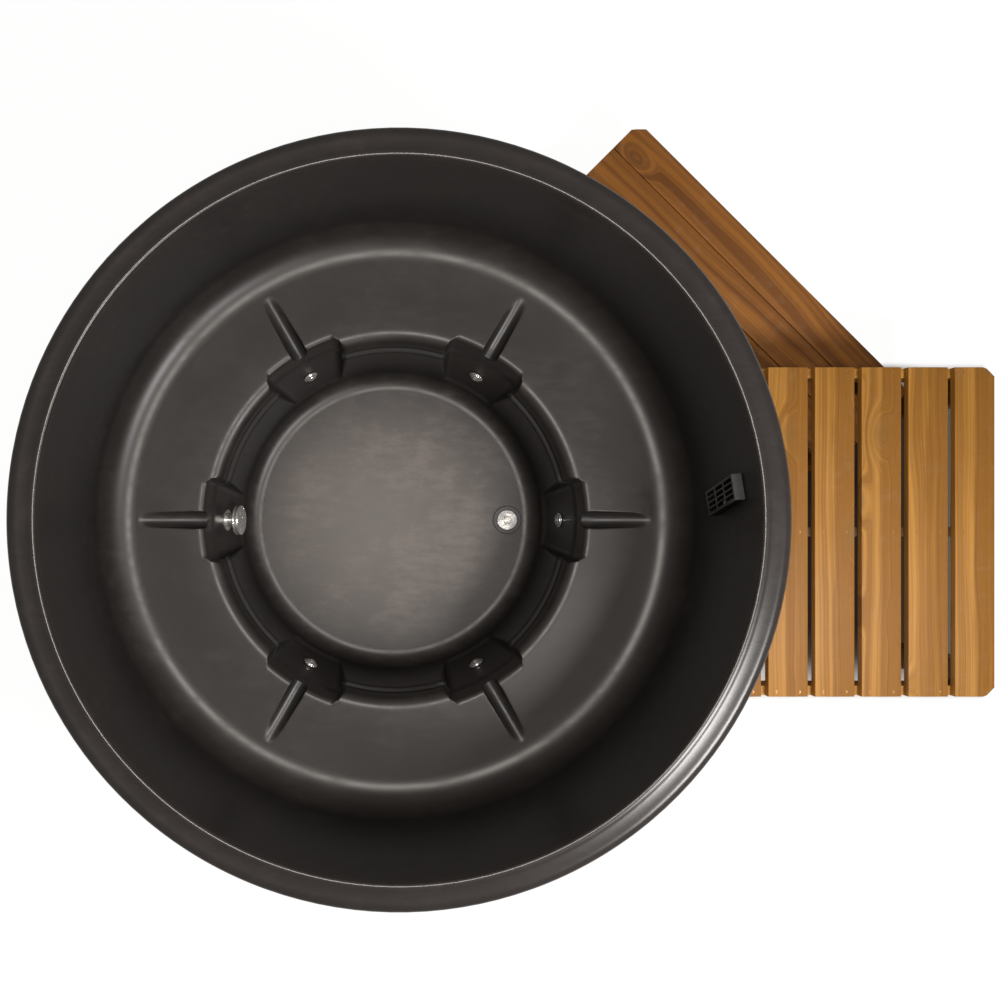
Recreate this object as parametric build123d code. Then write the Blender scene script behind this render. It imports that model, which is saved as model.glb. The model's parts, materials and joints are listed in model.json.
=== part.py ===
from build123d import *
from math import atan2, cos, degrees, hypot, pi, radians, sin, sqrt, tan
import os

# Outdoor hot tub with a moulded liner in a timber barrel, and a platform and a
# low diagonal step beside it. Millimetres, +Z up. The origin is on the ground
# under the middle of the barrel, and +X points to the platform.

# Liner
liner_t = 6.0
rim_r = 950.0
rim_z = 1000.0
rim_lip_h = 70.0
rim_roll = 24.0
bead_r = 9.0
rim_w = 75.0
wall_top_r = rim_r - rim_w
wall_run = 20.0
wall_foot_r = wall_top_r - wall_run
wall_cove = 95.0
seat_z = 450.0
seat_nose_r = 520.0
nose_round = 40.0
crease_z = 380.0
crease_step = 12.0
crease_in_round = 3.0
crease_out_round = 8.0
riser_run = 21.0
riser_foot_r = seat_nose_r - crease_step - riser_run
floor_cove = 55.0
floor_z = 50.0

# Pockets in the edge of the seat, one for each jet and one for the suction
pocket_count = 6
pocket_depth = 43.0
pocket_back_r = seat_nose_r + pocket_depth
pocket_lean = 11.0
pocket_half_w = 123.5
pocket_taper = 6.7
pocket_floor_z = 120.0
pocket_round = 30.0

# Drain grooves across the seat, one into each pocket
groove_r = 24.0
groove_depth = 40.0
groove_end_gap = 100.0
groove_start_r = wall_foot_r - groove_end_gap

# Barrel of staves, held by two steel hoops
rim_overhang = 18.0
barrel_r = rim_r - rim_overhang
stave_t = 21.0
stave_count = 48
stave_gap = 0.8
stave_chamfer = 3.0
stave_top_chamfer = 7.0
panel_count = 6
hoop_t = 2.5
hoop_h = 45.0
hoop_low_z = 150.0
hoop_high_z = 800.0
hoop_split_deg = 200.0
hoop_ear = 14.0
hoop_ear_gap = 26.0
hoop_bolt_r = 3.0
hoop_nut_af = 10.0
hoop_nut_h = 5.0
hoop_bolt_end = 2.0

# Base timbers and seat posts
joist_w = 95.0
joist_ys = (125.0, 360.0, 700.0)
joist_end_gap = 3.0
middle_joist_gap = 45.0
post_t = 45.0
post_w = 95.0
post_gap = 95.0

# Jets
jet_z = 250.0
jet_flange_r = 22.8
jet_proud = 12.0
jet_body_r = 18.0
jet_body_len = 45.0
jet_rim_r = 21.0
jet_rim_t = 2.5
jet_bore_r = 15.0
jet_back_t = 5.0
jet_tail_r = 12.5
jet_tail_bore_r = 9.0
jet_sleeve_len = 22.0
jet_ball_r = 11.7
jet_ball_w = 5.0
jet_mouth_r = 9.6
jet_mouth_neck = 1.0
jet_mouth_flare = 4.0
jet_brow = 3.0
jet_grip_count = 6
jet_grip_r = 2.4
jet_grip_out = 1.2
jet_outlet_r = 4.5
jet_stop_gap = 0.3
turn_fit = 0.08
ball_fit = 0.3
locknut_r = 27.0
locknut_t = 8.0

# Suction fitting and strainer
suction_stem_r = 22.5
suction_bore_r = 17.5
suction_inside = 34.0
suction_tail = 40.0
suction_flange_r = 33.0
suction_flange_t = 4.0
strainer_r = 46.5
strainer_t = 20.0
strainer_wall = 3.0
strainer_hole_r = 3.0
strainer_rows = (9.0, 19.0, 29.0, 38.0)
strainer_pitch = 10.5

# Ring pipe behind the jets
ring_gap = 62.0
ring_r = pocket_back_r + ring_gap
ring_pipe_r = 20.0
ring_wall = 3.0
ring_start_deg = -126.0
ring_end_deg = 135.0
tee_r = 17.0
tee_len = 26.0
tee_overlap = 10.0
pipe_bend = 60.0

# Pump
pump_gap = 55.0
pump_x = ring_r + pump_gap
volute_r = 75.0
volute_len = 60.0
volute_wall = 6.0
hub_wall = 5.0
inlet_hub = 16.0
outlet_reach = 110.0
outlet_socket = 25.0
impeller_r = 58.0
impeller_t = 8.0
vane_h = 16.0
vane_t = 4.0
vane_count = 6
shaft_r = 6.0
shaft_in_motor = 30.0
motor_r = 60.0
motor_len = 150.0
motor_fin_h = 3.0
motor_fin_drop = 1.0
motor_fin_count = 24
motor_fin_t = 3.0
motor_cap_len = 30.0
motor_collar_len = 15.0
motor_fin_end = 7.5
pump_plate_t = 6.0
pump_plate_y = 160.0
pump_foot_w = 90.0

# Floor drain, drain pipe and ball valve
drain_ring_r = 47.0
drain_gap = 1.0
drain_x = riser_foot_r - floor_cove - drain_ring_r - drain_gap
drain_ring_t = 6.0
drain_seat_t = 3.0
drain_ring_edge = 1.5
plug_r = 33.5
plug_gap = 0.4
plug_t = 4.0
plug_hex_af = 26.0
plug_hex_h = 6.0
plug_edge = 1.3
plug_hex_edge = 1.5
plug_stem_len = 12.0
plug_stem_r = 20.5
seal_t = 3.0
seal_depth = 1.8
seal_gap = 0.3
sleeve_r = 29.0
sleeve_bore_r = 22.0
sleeve_len = 14.0
sump_r = 38.0
sump_wall = 4.0
drain_pipe_z = 22.0
drain_pipe_r = 16.0
drain_pipe_wall = 3.0
drain_hub_len = 36.0
valve_reach = 103.0
valve_x = barrel_r + valve_reach
valve_half = 42.0
valve_r = 20.0
valve_ball_r = 15.0
valve_ball_bore = 11.0
valve_tower_r = 10.0
valve_tower_z = 50.0
valve_stem_r = 5.0
valve_stem_in_ball = 4.0
valve_outlet_len = 26.0
valve_outlet_r = 16.5
valve_cuff = 6.5
barb_h = 1.5
barb_w = 2.0
barb_pitch = 6.0
barb_end = 4.0
barb_count = 3
lever_len = 92.0
lever_w = 14.0
lever_t = 4.0
lever_cap_r = 4.7

# Overflow box on the wall beside the platform
box_w = 67.0
box_h = 190.0
box_depth = 30.0
box_z = 805.0
box_angle = 4.3
box_tilt = 12.0
box_wall = 2.5
grille_t = 3.0
grille_cols = 4
grille_rows = 3
grille_bar = 4.5
slide_gap = 0.3
runner_t = 2.0
runner_depth = 7.0
grille_back_gap = 4.0
overflow_pipe_r = 13.0
overflow_pipe_wall = 2.0
overflow_pipe_gap = 5.0
overflow_drop_r = barrel_r - stave_t - overflow_pipe_r - overflow_pipe_gap
overflow_bend = 15.0
overflow_port_drop = 45.0
overflow_end_z = 10.0

# Platform beside the barrel
deck_t = 28.0
deck_w = 115.0
deck_gap = 20.6
deck_count = 6
deck_crown = 2.0
deck_top_z = 500.0
barrel_gap = 16.0
deck_x = barrel_r + barrel_gap
deck_y_low = -513.0
deck_y_high = 443.5
deck_chamfer = 27.0
bearer_t = 28.0
bearer_h = 95.0
leg_w = 70.0
leg_inset = 12.0
spacer_w = 90.0
spacer_h = 90.0

# Low step, set at 45 degrees and running in under the platform
step_turn = 45.0
step_top_z = 250.0
step_w = 114.0
step_gap = 3.0
step_count = 3
step_in_gap = 155.0
step_outer_u = barrel_r + step_in_gap + step_count * step_w + (step_count - 1) * step_gap
step_v_low = -339.0
step_v_high = 860.0
step_chamfer = 32.0
prop_w = 48.0
prop_ins = (232.0, 512.0)
prop_xs = [deck_x + prop_in for prop_in in prop_ins]

# Wood screws
screw_head_r = 4.5
screw_head_h = 3.0
screw_r = 2.5
screw_len = 55.0
screw_inset = 25.0
screw_sink = 0.5

under_rim_z = rim_z - liner_t
under_seat_z = seat_z - liner_t
post_r = ring_r + post_gap
joist_h = floor_z - liner_t
lean_rise = tan(radians(pocket_lean))
jet_wall_r = pocket_back_r - (seat_z - jet_z) * lean_rise
far = 3000.0


def slab(x0, x1, y0, y1, z0, z1):
    """A box between two corners."""
    return Pos((x0 + x1) / 2, (y0 + y1) / 2, (z0 + z1) / 2) * Box(x1 - x0, y1 - y0, z1 - z0)


def rod(radius, start, end):
    """An upright cylinder from one height to another, on the local Z axis."""
    return Pos(0, 0, (start + end) / 2) * Cylinder(radius, end - start)


def tube(outer, inner, start, end):
    return rod(outer, start, end) - rod(inner, start - 1, end + 1)


def turned(shape, angle):
    """A shape turned about the barrel's axis."""
    return Rot(0, 0, angle) * shape


def along_x(shape):
    """Stands a local Z axis along +X."""
    return Rot(0, 90, 0) * shape


def save(name, *shapes):
    solids = [solid for shape in shapes for solid in shape.solids()]
    export_step(solids[0] if len(solids) == 1 else Compound(solids), f"parts/{name}.step")


# Liner


def liner_path():
    """The wet side of the liner, from the lip of the rim to the middle of the floor, with its rounds."""
    points = [
        (rim_r, rim_z - rim_lip_h),
        (rim_r, rim_z),
        (wall_top_r, rim_z),
        (wall_foot_r, seat_z),
        (seat_nose_r, seat_z),
        (seat_nose_r, crease_z),
        (seat_nose_r - crease_step, crease_z),
        (riser_foot_r, floor_z),
        (0, floor_z),
    ]
    rounds = [rim_roll, bead_r, wall_cove, nose_round]
    rounds += [crease_in_round, crease_out_round, floor_cove]
    return points, rounds


def moved_path(points, rounds, distance):
    """The same path moved sideways into the wall, with each round kept concentric."""
    ways = []
    for (ax, ay), (bx, by) in zip(points, points[1:]):
        length = hypot(bx - ax, by - ay)
        ways.append(((bx - ax) / length, (by - ay) / length))
    moved = [(points[0][0] - ways[0][1] * distance, points[0][1] + ways[0][0] * distance)]
    radii = []
    for corner, (before, after), radius in zip(points[1:-1], zip(ways, ways[1:]), rounds):
        turn = before[0] * after[1] - before[1] * after[0]
        half = 1 + before[0] * after[0] + before[1] * after[1]
        nx = (-before[1] - after[1]) / half
        ny = (before[0] + after[0]) / half
        moved.append((corner[0] + nx * distance, corner[1] + ny * distance))
        radii.append(radius - distance if turn > 0 else radius + distance)
    moved.append((points[-1][0] - ways[-1][1] * distance, points[-1][1] + ways[-1][0] * distance))
    return moved, radii


def revolved(lines):
    return revolve(Plane.XZ * make_face(lines), Axis.Z, 360)


def water_volume():
    """All the room above the wet side, up past the rim."""
    points, rounds = liner_path()
    wall_slope = (wall_top_r - wall_foot_r) / (rim_z - seat_z)
    top_z = rim_z + rim_lip_h
    top_r = wall_top_r + wall_slope * rim_lip_h
    wet = [(top_r, top_z)] + points[3:]
    path = FilletPolyline(*wet, radius=rounds[2:])
    return revolved(path + Polyline((0, floor_z), (0, top_z), (top_r, top_z)))


def pocket_tool(grow):
    """The room of one pocket, or with grow the outside of its wall."""
    top_z = seat_z + nose_round
    low_z = pocket_floor_z - grow
    spread = tan(radians(pocket_taper))
    inner = riser_foot_r - floor_cove - nose_round

    def level(z):
        back = pocket_back_r - (seat_z - z) * lean_rise + grow / cos(radians(pocket_lean))
        half = pocket_half_w - (seat_z - z) * spread + grow / cos(radians(pocket_taper))
        return Pos((inner + back) / 2, 0, z) * Rectangle(back - inner, 2 * half)

    room = loft([level(low_z), level(top_z)])
    edges = [e for e in room.edges() if e.center().Z < top_z - 1 and e.center().X > inner + 1]
    return fillet(edges, pocket_round + grow)


def groove_tool(grow):
    """The sloping round-bottomed groove that drains the seat into a pocket."""
    run = groove_start_r - pocket_back_r
    slope = degrees(atan2(groove_depth, run))
    reach = run + pocket_back_r - seat_nose_r
    section = Circle(groove_r + grow) + Pos(0, groove_r) * Rectangle(2 * (groove_r + grow), 2 * groove_r)
    bar = extrude(section, reach / cos(radians(slope)))
    axis_start = Plane(
        origin=(groove_start_r, 0, seat_z + groove_r),
        x_dir=(0, 1, 0),
        z_dir=(-cos(radians(slope)), 0, -sin(radians(slope))),
    )
    return axis_start.location * Rot(0, 0, 180) * bar


def wall_place(angle):
    """On the back wall of the pocket at this angle: local Z points into the tub."""
    lean = radians(pocket_lean)
    spot = Plane(origin=(jet_wall_r, 0, jet_z), x_dir=(0, 1, 0), z_dir=(-cos(lean), 0, sin(lean)))
    return Rot(0, 0, angle) * spot.location


def make_liner(water, box_place):
    points, rounds = liner_path()
    outside, outside_rounds = moved_path(points, rounds, liner_t)
    wet_line = FilletPolyline(*points, radius=rounds)
    dry_line = FilletPolyline(*outside, radius=outside_rounds)
    ends = Line(points[0], outside[0]) + Line(points[-1], outside[-1])
    shell = revolved(wet_line + dry_line + ends)
    skin = (pocket_tool(liner_t) + groove_tool(liner_t)) - water
    room = pocket_tool(0) + groove_tool(0)
    for k in range(pocket_count):
        shell = shell + turned(skin, k * 360 / pocket_count)
    for k in range(pocket_count):
        shell = shell - turned(room, k * 360 / pocket_count)
    for angle in jet_angles:
        shell = shell - wall_place(angle) * rod(jet_body_r, -3 * liner_t, liner_t)
    shell = shell - wall_place(suction_angle) * rod(suction_stem_r, -3 * liner_t, liner_t)
    shell = shell - Pos(drain_x, 0, 0) * rod(sleeve_r, 0, floor_z + 1)
    shell = shell - overflow_path_rod(box_place, overflow_pipe_r)
    return shell


# Barrel


def make_staves():
    half = 180 / stave_count
    side = stave_gap / 2
    ring = tube(barrel_r, barrel_r - stave_t, joist_h, under_rim_z)
    reach = barrel_r + stave_t
    cheek = Plane.XY.offset(joist_h) * Rectangle(reach, reach, align=(Align.MIN, Align.MIN))
    cheek = extrude(cheek, under_rim_z - joist_h)
    stave = ring - turned(Pos(0, -side, 0) * cheek, half)
    stave = stave - turned(Pos(0, side, 0) * mirror(cheek, Plane.XZ), -half)
    stave = stave & slab(0, reach, -reach / 4, reach / 4, 0, rim_z)
    uprights = stave.edges().filter_by(Axis.Z).sort_by(Axis.X)[-2:]
    stave = chamfer(uprights, stave_chamfer)
    brow = stave.edges().group_by(Axis.Z)[-1].sort_by(Axis.X)[-1]
    stave = chamfer(brow, stave_top_chamfer)
    per_panel = stave_count // panel_count
    for panel in range(panel_count):
        places = [(panel * per_panel + k + 0.5) * 2 * half for k in range(per_panel)]
        save(f"stave_panel_{panel + 1}", *[turned(stave, place) for place in places])


def make_hoop(low):
    """A steel band with two turned-out ears, drawn together by a bolt."""
    band = tube(barrel_r + hoop_t, barrel_r, low, low + hoop_h)
    half = hoop_ear_gap / 2
    split = slab(barrel_r - hoop_t, barrel_r + 2 * hoop_t, -half, half, low - 1, low + hoop_h + 1)
    band = band - split
    bolt_hole = Pos(barrel_r + hoop_t + hoop_ear / 2, 0, low + hoop_h / 2) * Rot(90, 0, 0)
    for side in (-1, 1):
        near, away = sorted((side * half, side * (half + hoop_t)))
        inner = sqrt(barrel_r**2 - away**2) + hoop_t / 2
        band = band + slab(inner, barrel_r + hoop_t + hoop_ear, near, away, low, low + hoop_h)
    band = band - tube(barrel_r, barrel_r - 2 * hoop_t, low - 1, low + hoop_h + 1)
    band = band - bolt_hole * rod(hoop_bolt_r, -hoop_ear_gap, hoop_ear_gap)
    outside = half + hoop_t
    hexagon = extrude(RegularPolygon(hoop_nut_af / 2, 6, major_radius=False), hoop_nut_h)
    bolt = rod(hoop_bolt_r, -outside - hoop_nut_h - hoop_bolt_end, outside)
    bolt = bolt + Pos(0, 0, outside) * hexagon
    nut = Pos(0, 0, -outside - hoop_nut_h) * hexagon - rod(hoop_bolt_r, -far, 0)
    return [turned(shape, hoop_split_deg) for shape in (band, bolt_hole * bolt, bolt_hole * nut)]


def make_base():
    joists = []
    for y in joist_ys:
        half_len = sqrt(barrel_r**2 - (y + joist_w / 2) ** 2) - joist_end_gap
        for side in (-1, 1):
            low, high = sorted((side * (y - joist_w / 2), side * (y + joist_w / 2)))
            joists.append(slab(-half_len, half_len, low, high, 0, joist_h))
    middle_low = -sqrt(barrel_r**2 - joist_w**2 / 4) + joist_end_gap
    middle_high = drain_x - sump_r - middle_joist_gap
    joists.append(slab(middle_low, middle_high, -joist_w / 2, joist_w / 2, 0, joist_h))
    save("base_joists", *joists)
    posts = []
    post = slab(-post_t / 2, post_t / 2, -post_w / 2, post_w / 2, joist_h, under_seat_z)
    flank = degrees(atan2(joist_ys[1], sqrt(post_r**2 - joist_ys[1] ** 2)))
    for angle in (flank, 180 - flank, 180 + flank, -flank):
        posts.append(turned(Pos(post_r, 0, 0) * post, angle))
    for angle in (90, -90):
        posts.append(turned(Pos(joist_ys[2], 0, 0) * post, angle))
    save("seat_posts", *posts)


# Jets, suction and pipework

jet_angles = (0.0, 60.0, 120.0, 240.0, 300.0)
suction_angle = 180.0


def make_jets():
    body = rod(jet_body_r, -jet_body_len, 0) + rod(jet_rim_r, 0, jet_rim_t)
    ring_depth = (ring_r - jet_wall_r) / cos(radians(pocket_lean))
    tail_end = ring_depth - ring_pipe_r - tee_overlap
    body = body + rod(jet_tail_r, -tail_end, -jet_body_len)
    body = body - rod(jet_bore_r, jet_back_t - jet_body_len, jet_rim_t + 1)
    body = body - rod(jet_tail_bore_r, -tail_end - 1, 0)
    save("jet_bodies", *[wall_place(angle) * body for angle in jet_angles])
    nut = Pos(0, 0, -liner_t - locknut_t) * extrude(RegularPolygon(locknut_r, 8), locknut_t)
    nut = nut - rod(jet_body_r, -far, far)
    save("jet_locknuts", *[wall_place(angle) * nut for angle in jet_angles])
    low = jet_rim_t + jet_stop_gap
    edge = (jet_flange_r, low + jet_brow)
    crown = (jet_mouth_r + jet_brow, jet_proud)
    face = Polyline((0, low), (jet_flange_r, low), edge, crown, (0, jet_proud), (0, low))
    face = revolve(Plane.XZ * make_face(face), Axis.Z, 360)
    face = face + rod(jet_bore_r - turn_fit, -jet_sleeve_len, low)
    face = face - rod(jet_outlet_r * 2, -jet_sleeve_len - 1, jet_ball_w)
    face = face - Pos(0, 0, jet_ball_w) * Sphere(jet_ball_r + ball_fit)
    mouth = Cone(jet_mouth_r - jet_mouth_neck, jet_mouth_r + jet_mouth_flare, jet_proud)
    face = face - Pos(0, 0, jet_ball_w + jet_proud / 2) * mouth
    grip = Pos(jet_flange_r + jet_grip_out, 0, low + jet_proud / 2) * Cylinder(jet_grip_r, jet_proud)
    for k in range(jet_grip_count):
        face = face - Rot(0, 0, 360 * (k + 0.5) / jet_grip_count) * grip
    ball = Pos(0, 0, jet_ball_w) * (Sphere(jet_ball_r) - Cylinder(jet_outlet_r, 3 * jet_ball_r))
    for k, angle in enumerate(jet_angles):
        save(f"jet_face_{k + 1}", wall_place(angle) * face)
        save(f"jet_nozzle_{k + 1}", wall_place(angle) * ball)


def make_suction():
    stem = rod(suction_stem_r, -suction_tail, suction_inside) + rod(suction_flange_r, 0, suction_flange_t)
    stem = stem - rod(suction_bore_r, -suction_tail - 1, suction_inside + 1)
    place = wall_place(suction_angle)
    save("suction_fitting", place * stem)
    nut_r = locknut_r + suction_stem_r - jet_body_r
    nut = Pos(0, 0, -liner_t - locknut_t) * extrude(RegularPolygon(nut_r, 8), locknut_t)
    save("suction_locknut", place * (nut - rod(suction_stem_r, -far, far)))
    top = suction_inside + strainer_t - strainer_wall
    low = suction_inside - strainer_wall
    cap = rod(strainer_r, low, top)
    cap = chamfer(cap.edges().group_by(Axis.Z)[-1], strainer_wall / 2)
    cap = cap - rod(strainer_r - strainer_wall, suction_inside, top - strainer_wall)
    cap = cap - rod(suction_stem_r, low - 1, suction_inside)
    cap = cap - rod(suction_bore_r, low - 1, suction_inside + 1)
    hole = Pos(0, 0, top) * Cylinder(strainer_hole_r, 4 * strainer_wall)
    holes = [hole]
    for row in strainer_rows:
        count = int(2 * pi * row / strainer_pitch)
        for k in range(count):
            holes.append(Rot(0, 0, 360 * k / count) * Pos(row, 0, 0) * hole)
    cap = cap - holes
    save("suction_cap", place * cap)


def ring_height():
    return jet_z - (ring_r - jet_wall_r) * lean_rise


def make_ring():
    """The pipe that feeds the jets, a tee for each, and the straight run back to the pump."""
    z = ring_height()
    way = radians(ring_end_deg)
    x0, y0 = ring_r * cos(way), ring_r * sin(way)
    run = (x0 + pump_x) / sin(way)
    corner = (-pump_x, y0 + run * cos(way), z)
    route = FilletPolyline((x0, y0, z), corner, (-pump_x, outlet_reach - outlet_socket, z), radius=pipe_bend)

    def pipe(radius):
        arc = revolve(Plane.XZ * Pos(ring_r, z) * Circle(radius), Axis.Z, ring_end_deg - ring_start_deg)
        arc = turned(arc, ring_start_deg)
        profile = Plane(origin=(x0, y0, z), z_dir=route % 0) * Circle(radius)
        return arc + sweep(profile, path=route)

    depth = (ring_r - jet_wall_r) / cos(radians(pocket_lean))
    whole = pipe(ring_pipe_r)
    for angle in jet_angles:
        whole = whole + wall_place(angle) * rod(tee_r, -depth, tee_len - depth)
    cap = Pos(ring_r, 0, z) * Rot(90, 0, 0) * rod(ring_pipe_r, 0, ring_wall)
    whole = whole + turned(cap, ring_start_deg) - pipe(ring_pipe_r - ring_wall)
    tail_end = depth - ring_pipe_r - tee_overlap
    for angle in jet_angles:
        whole = whole - wall_place(angle) * rod(jet_tail_r, -tail_end, 0)
        whole = whole - wall_place(angle) * rod(jet_tail_bore_r, -depth, 0)
    save("ring_pipe", whole)


def make_pump():
    z = ring_height()
    inner_x = volute_len / 2 - volute_wall
    inlet_r = suction_stem_r
    axis = Pos(-pump_x, 0, z) * Rot(0, 90, 0)
    outlet = Pos(-pump_x, 0, z) * Rot(-90, 0, 0)
    casing = rod(volute_r, -volute_len / 2, volute_len / 2)
    casing = chamfer(casing.edges().group_by(Axis.Z)[-1], volute_wall)
    casing = casing + rod(inlet_r + hub_wall, volute_len / 2, volute_len / 2 + inlet_hub)
    casing = axis * casing + outlet * rod(ring_pipe_r + hub_wall, volute_r - 2 * volute_wall, outlet_reach)
    casing = casing - axis * rod(volute_r - volute_wall, -inner_x, inner_x)
    casing = casing - axis * rod(inlet_r, volute_len / 2, far) - axis * rod(suction_bore_r, 0, far)
    casing = casing - axis * rod(shaft_r + turn_fit, -volute_len, 0)
    casing = casing - outlet * rod(ring_pipe_r, outlet_reach - outlet_socket, far)
    casing = casing - outlet * rod(ring_pipe_r - ring_wall, volute_r / 2, far)
    save("pump_casing", casing)
    wheel_low = 2 * volute_wall - volute_len / 2
    wheel = rod(impeller_r, wheel_low, wheel_low + impeller_t)
    wheel = wheel + rod(2 * shaft_r, wheel_low, wheel_low + impeller_t + vane_h)
    for k in range(vane_count):
        vane = slab(shaft_r, impeller_r - vane_t, 0, vane_t, wheel_low, wheel_low + impeller_t + vane_h)
        wheel = wheel + Rot(0, 0, 360 * k / vane_count) * vane
    wheel = wheel + rod(shaft_r, -volute_len / 2 - shaft_in_motor, wheel_low)
    save("pump_impeller", axis * wheel)
    motor_top = -volute_len / 2
    motor = rod(motor_r - motor_fin_h, motor_top - motor_len, motor_top)
    motor = motor + rod(motor_r, motor_top - motor_len, motor_top - motor_len + motor_cap_len)
    motor = motor + rod(motor_r, motor_top - motor_collar_len, motor_top)
    fin_root = motor_r - 2 * motor_fin_h
    fin_tip = motor_r - motor_fin_drop
    fin_low = motor_top - motor_len + motor_cap_len / 2
    fin = slab(fin_root, fin_tip, -motor_fin_t / 2, motor_fin_t / 2, fin_low, motor_top - motor_fin_end)
    for k in range(motor_fin_count):
        motor = motor + Rot(0, 0, 360 * k / motor_fin_count) * fin
    motor = motor - rod(shaft_r + turn_fit, motor_top - shaft_in_motor - 1, motor_top + 1)
    save("pump_motor", axis * motor)
    back = -pump_x - volute_len / 2
    saddle = slab(back - motor_len, back, -pump_foot_w / 2, pump_foot_w / 2, joist_h + pump_plate_t, z)
    saddle = saddle - axis * rod(motor_r, -far, far)
    plate = slab(back - motor_len, back, -pump_plate_y, pump_plate_y, joist_h, joist_h + pump_plate_t)
    save("pump_foot", saddle + plate)


def make_suction_pipe():
    z = ring_height()
    lean = radians(pocket_lean)
    start = (-(jet_wall_r + suction_tail * cos(lean)), 0, jet_z - suction_tail * sin(lean))
    end_x = -pump_x + volute_len / 2
    bend_x = -jet_wall_r - (jet_z - z) / tan(lean)
    route = FilletPolyline(start, (bend_x, 0, z), (end_x, 0, z), radius=pipe_bend)
    face = Plane(origin=start, z_dir=route % 0)
    outer = sweep(face * Circle(suction_stem_r), path=route)
    inner = sweep(face * Circle(suction_bore_r), path=route)
    save("suction_pipe", outer - inner)


# Floor drain, its pipe and the valve


def make_drain():
    place = Pos(drain_x, 0, 0)
    top = floor_z + drain_ring_t
    flange = rod(drain_ring_r, floor_z, top)
    flange = chamfer(flange.edges().group_by(Axis.Z)[-1], drain_ring_edge)
    flange = flange + rod(sleeve_r, floor_z - liner_t - sleeve_len, floor_z)
    flange = flange - rod(sleeve_bore_r, 0, top + 1)
    flange = flange - rod(plug_r + plug_gap, top - drain_seat_t, top + 1)
    save("drain_flange", place * flange)
    low = top - drain_seat_t
    plug = rod(plug_r, low, low + plug_t)
    plug = chamfer(plug.edges().group_by(Axis.Z)[-1], plug_edge)
    hexagon = extrude(RegularPolygon(plug_hex_af / 2, 6, major_radius=False), plug_hex_h)
    hexagon = chamfer(hexagon.edges().group_by(Axis.Z)[-1], plug_hex_edge)
    plug = plug + Pos(0, 0, low + plug_t) * hexagon
    plug = plug + rod(plug_stem_r, low - plug_stem_len, low)
    seal_mid = low - plug_stem_len / 2
    seal_r = sleeve_bore_r - seal_gap
    groove = tube(seal_r, plug_stem_r - seal_depth, seal_mid - seal_t / 2, seal_mid + seal_t / 2)
    save("drain_plug", place * (plug - groove))
    save("plug_seal", place * groove)
    sump = rod(sump_r, sump_wall, joist_h)
    hub = Pos(0, 0, drain_pipe_z) * along_x(rod(valve_r, 0, sump_r + drain_hub_len))
    cavity = rod(sump_r - sump_wall, 2 * sump_wall, joist_h - sleeve_len)
    sump = sump + hub - cavity - rod(sleeve_r, joist_h - sleeve_len - 1, joist_h + 1)
    sump = sump - Pos(0, 0, drain_pipe_z) * along_x(rod(drain_pipe_r, sump_r, far))
    sump = sump - Pos(0, 0, drain_pipe_z) * along_x(rod(drain_pipe_r - drain_pipe_wall, 0, far))
    save("drain_sump", place * sump)
    pipe_end = valve_x - valve_half / 2
    pipe = Pos(0, 0, drain_pipe_z) * along_x(
        tube(drain_pipe_r, drain_pipe_r - drain_pipe_wall, drain_x + sump_r, pipe_end)
    )
    save("drain_pipe", pipe)


def make_valve():
    place = Pos(valve_x, 0, drain_pipe_z)
    outlet_end = valve_half + valve_outlet_len
    body = along_x(rod(valve_r, -valve_half, valve_half + valve_cuff))
    body = body + along_x(rod(valve_outlet_r, 0, outlet_end))
    body = body + rod(valve_tower_r, 0, valve_tower_z - drain_pipe_z)
    for k in range(barb_count):
        start = outlet_end - barb_end - barb_pitch * k
        body = body + along_x(rod(valve_outlet_r + barb_h, start - barb_w, start))
    body = body - along_x(rod(drain_pipe_r, -far, -valve_half / 2))
    body = body - along_x(rod(valve_ball_bore, -far, far))
    body = body - Sphere(valve_ball_r + ball_fit)
    body = body - rod(valve_stem_r + turn_fit, 0, far)
    save("valve_body", place * body)
    tower_top = valve_tower_z - drain_pipe_z
    low = valve_ball_r - valve_stem_in_ball
    stem = rod(valve_stem_r, low, tower_top + ball_fit + lever_t)
    blade_low = tower_top + ball_fit
    blade_top = blade_low + lever_t
    blade = slab(-lever_w / 2, lever_w / 2, -lever_len, lever_w / 2, blade_low, blade_top)
    blade = fillet(blade.edges().filter_by(Axis.Z), 0.45 * lever_w)
    cap = Pos(0, 0, blade_top) * extrude(RegularPolygon(lever_cap_r, 6), lever_t)
    lever = blade + stem + cap
    ball = Sphere(valve_ball_r) - Rot(90, 0, 0) * Cylinder(valve_ball_bore, 3 * valve_ball_r)
    save("valve_lever", place * lever)
    save("valve_ball", place * (ball - rod(valve_stem_r, low, far)))


# Overflow box on the wall


def box_frame():
    """On the wall at the middle of the box: local Z into the tub, local Y up the tilted box."""
    slope = (wall_top_r - wall_foot_r) / (rim_z - seat_z)
    wall_r = wall_foot_r + (box_z - seat_z) * slope
    draft = degrees(atan2(wall_top_r - wall_foot_r, rim_z - seat_z))
    on_wall = Rot(0, 0, box_angle) * Pos(wall_r, 0, box_z) * Rot(0, draft - 90, 0)
    return on_wall * Rot(0, 0, box_tilt - 90)


def overflow_path_rod(box_place, radius):
    """The overflow pipe's route as a solid bar: out through the wall and down behind it."""
    port = box_place * Pos(0, -overflow_port_drop, 0)
    angle = degrees(atan2(port.position.Y, port.position.X))
    z = port.position.Z
    start_r = hypot(port.position.X, port.position.Y) - box_wall
    elbow = (overflow_drop_r, 0, z)
    end = (overflow_drop_r, 0, overflow_end_z)
    route = FilletPolyline((start_r, 0, z), elbow, end, radius=overflow_bend)
    face = Plane(origin=(start_r, 0, z), z_dir=(1, 0, 0))
    return turned(sweep(face * Circle(radius), path=route), angle)


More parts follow.
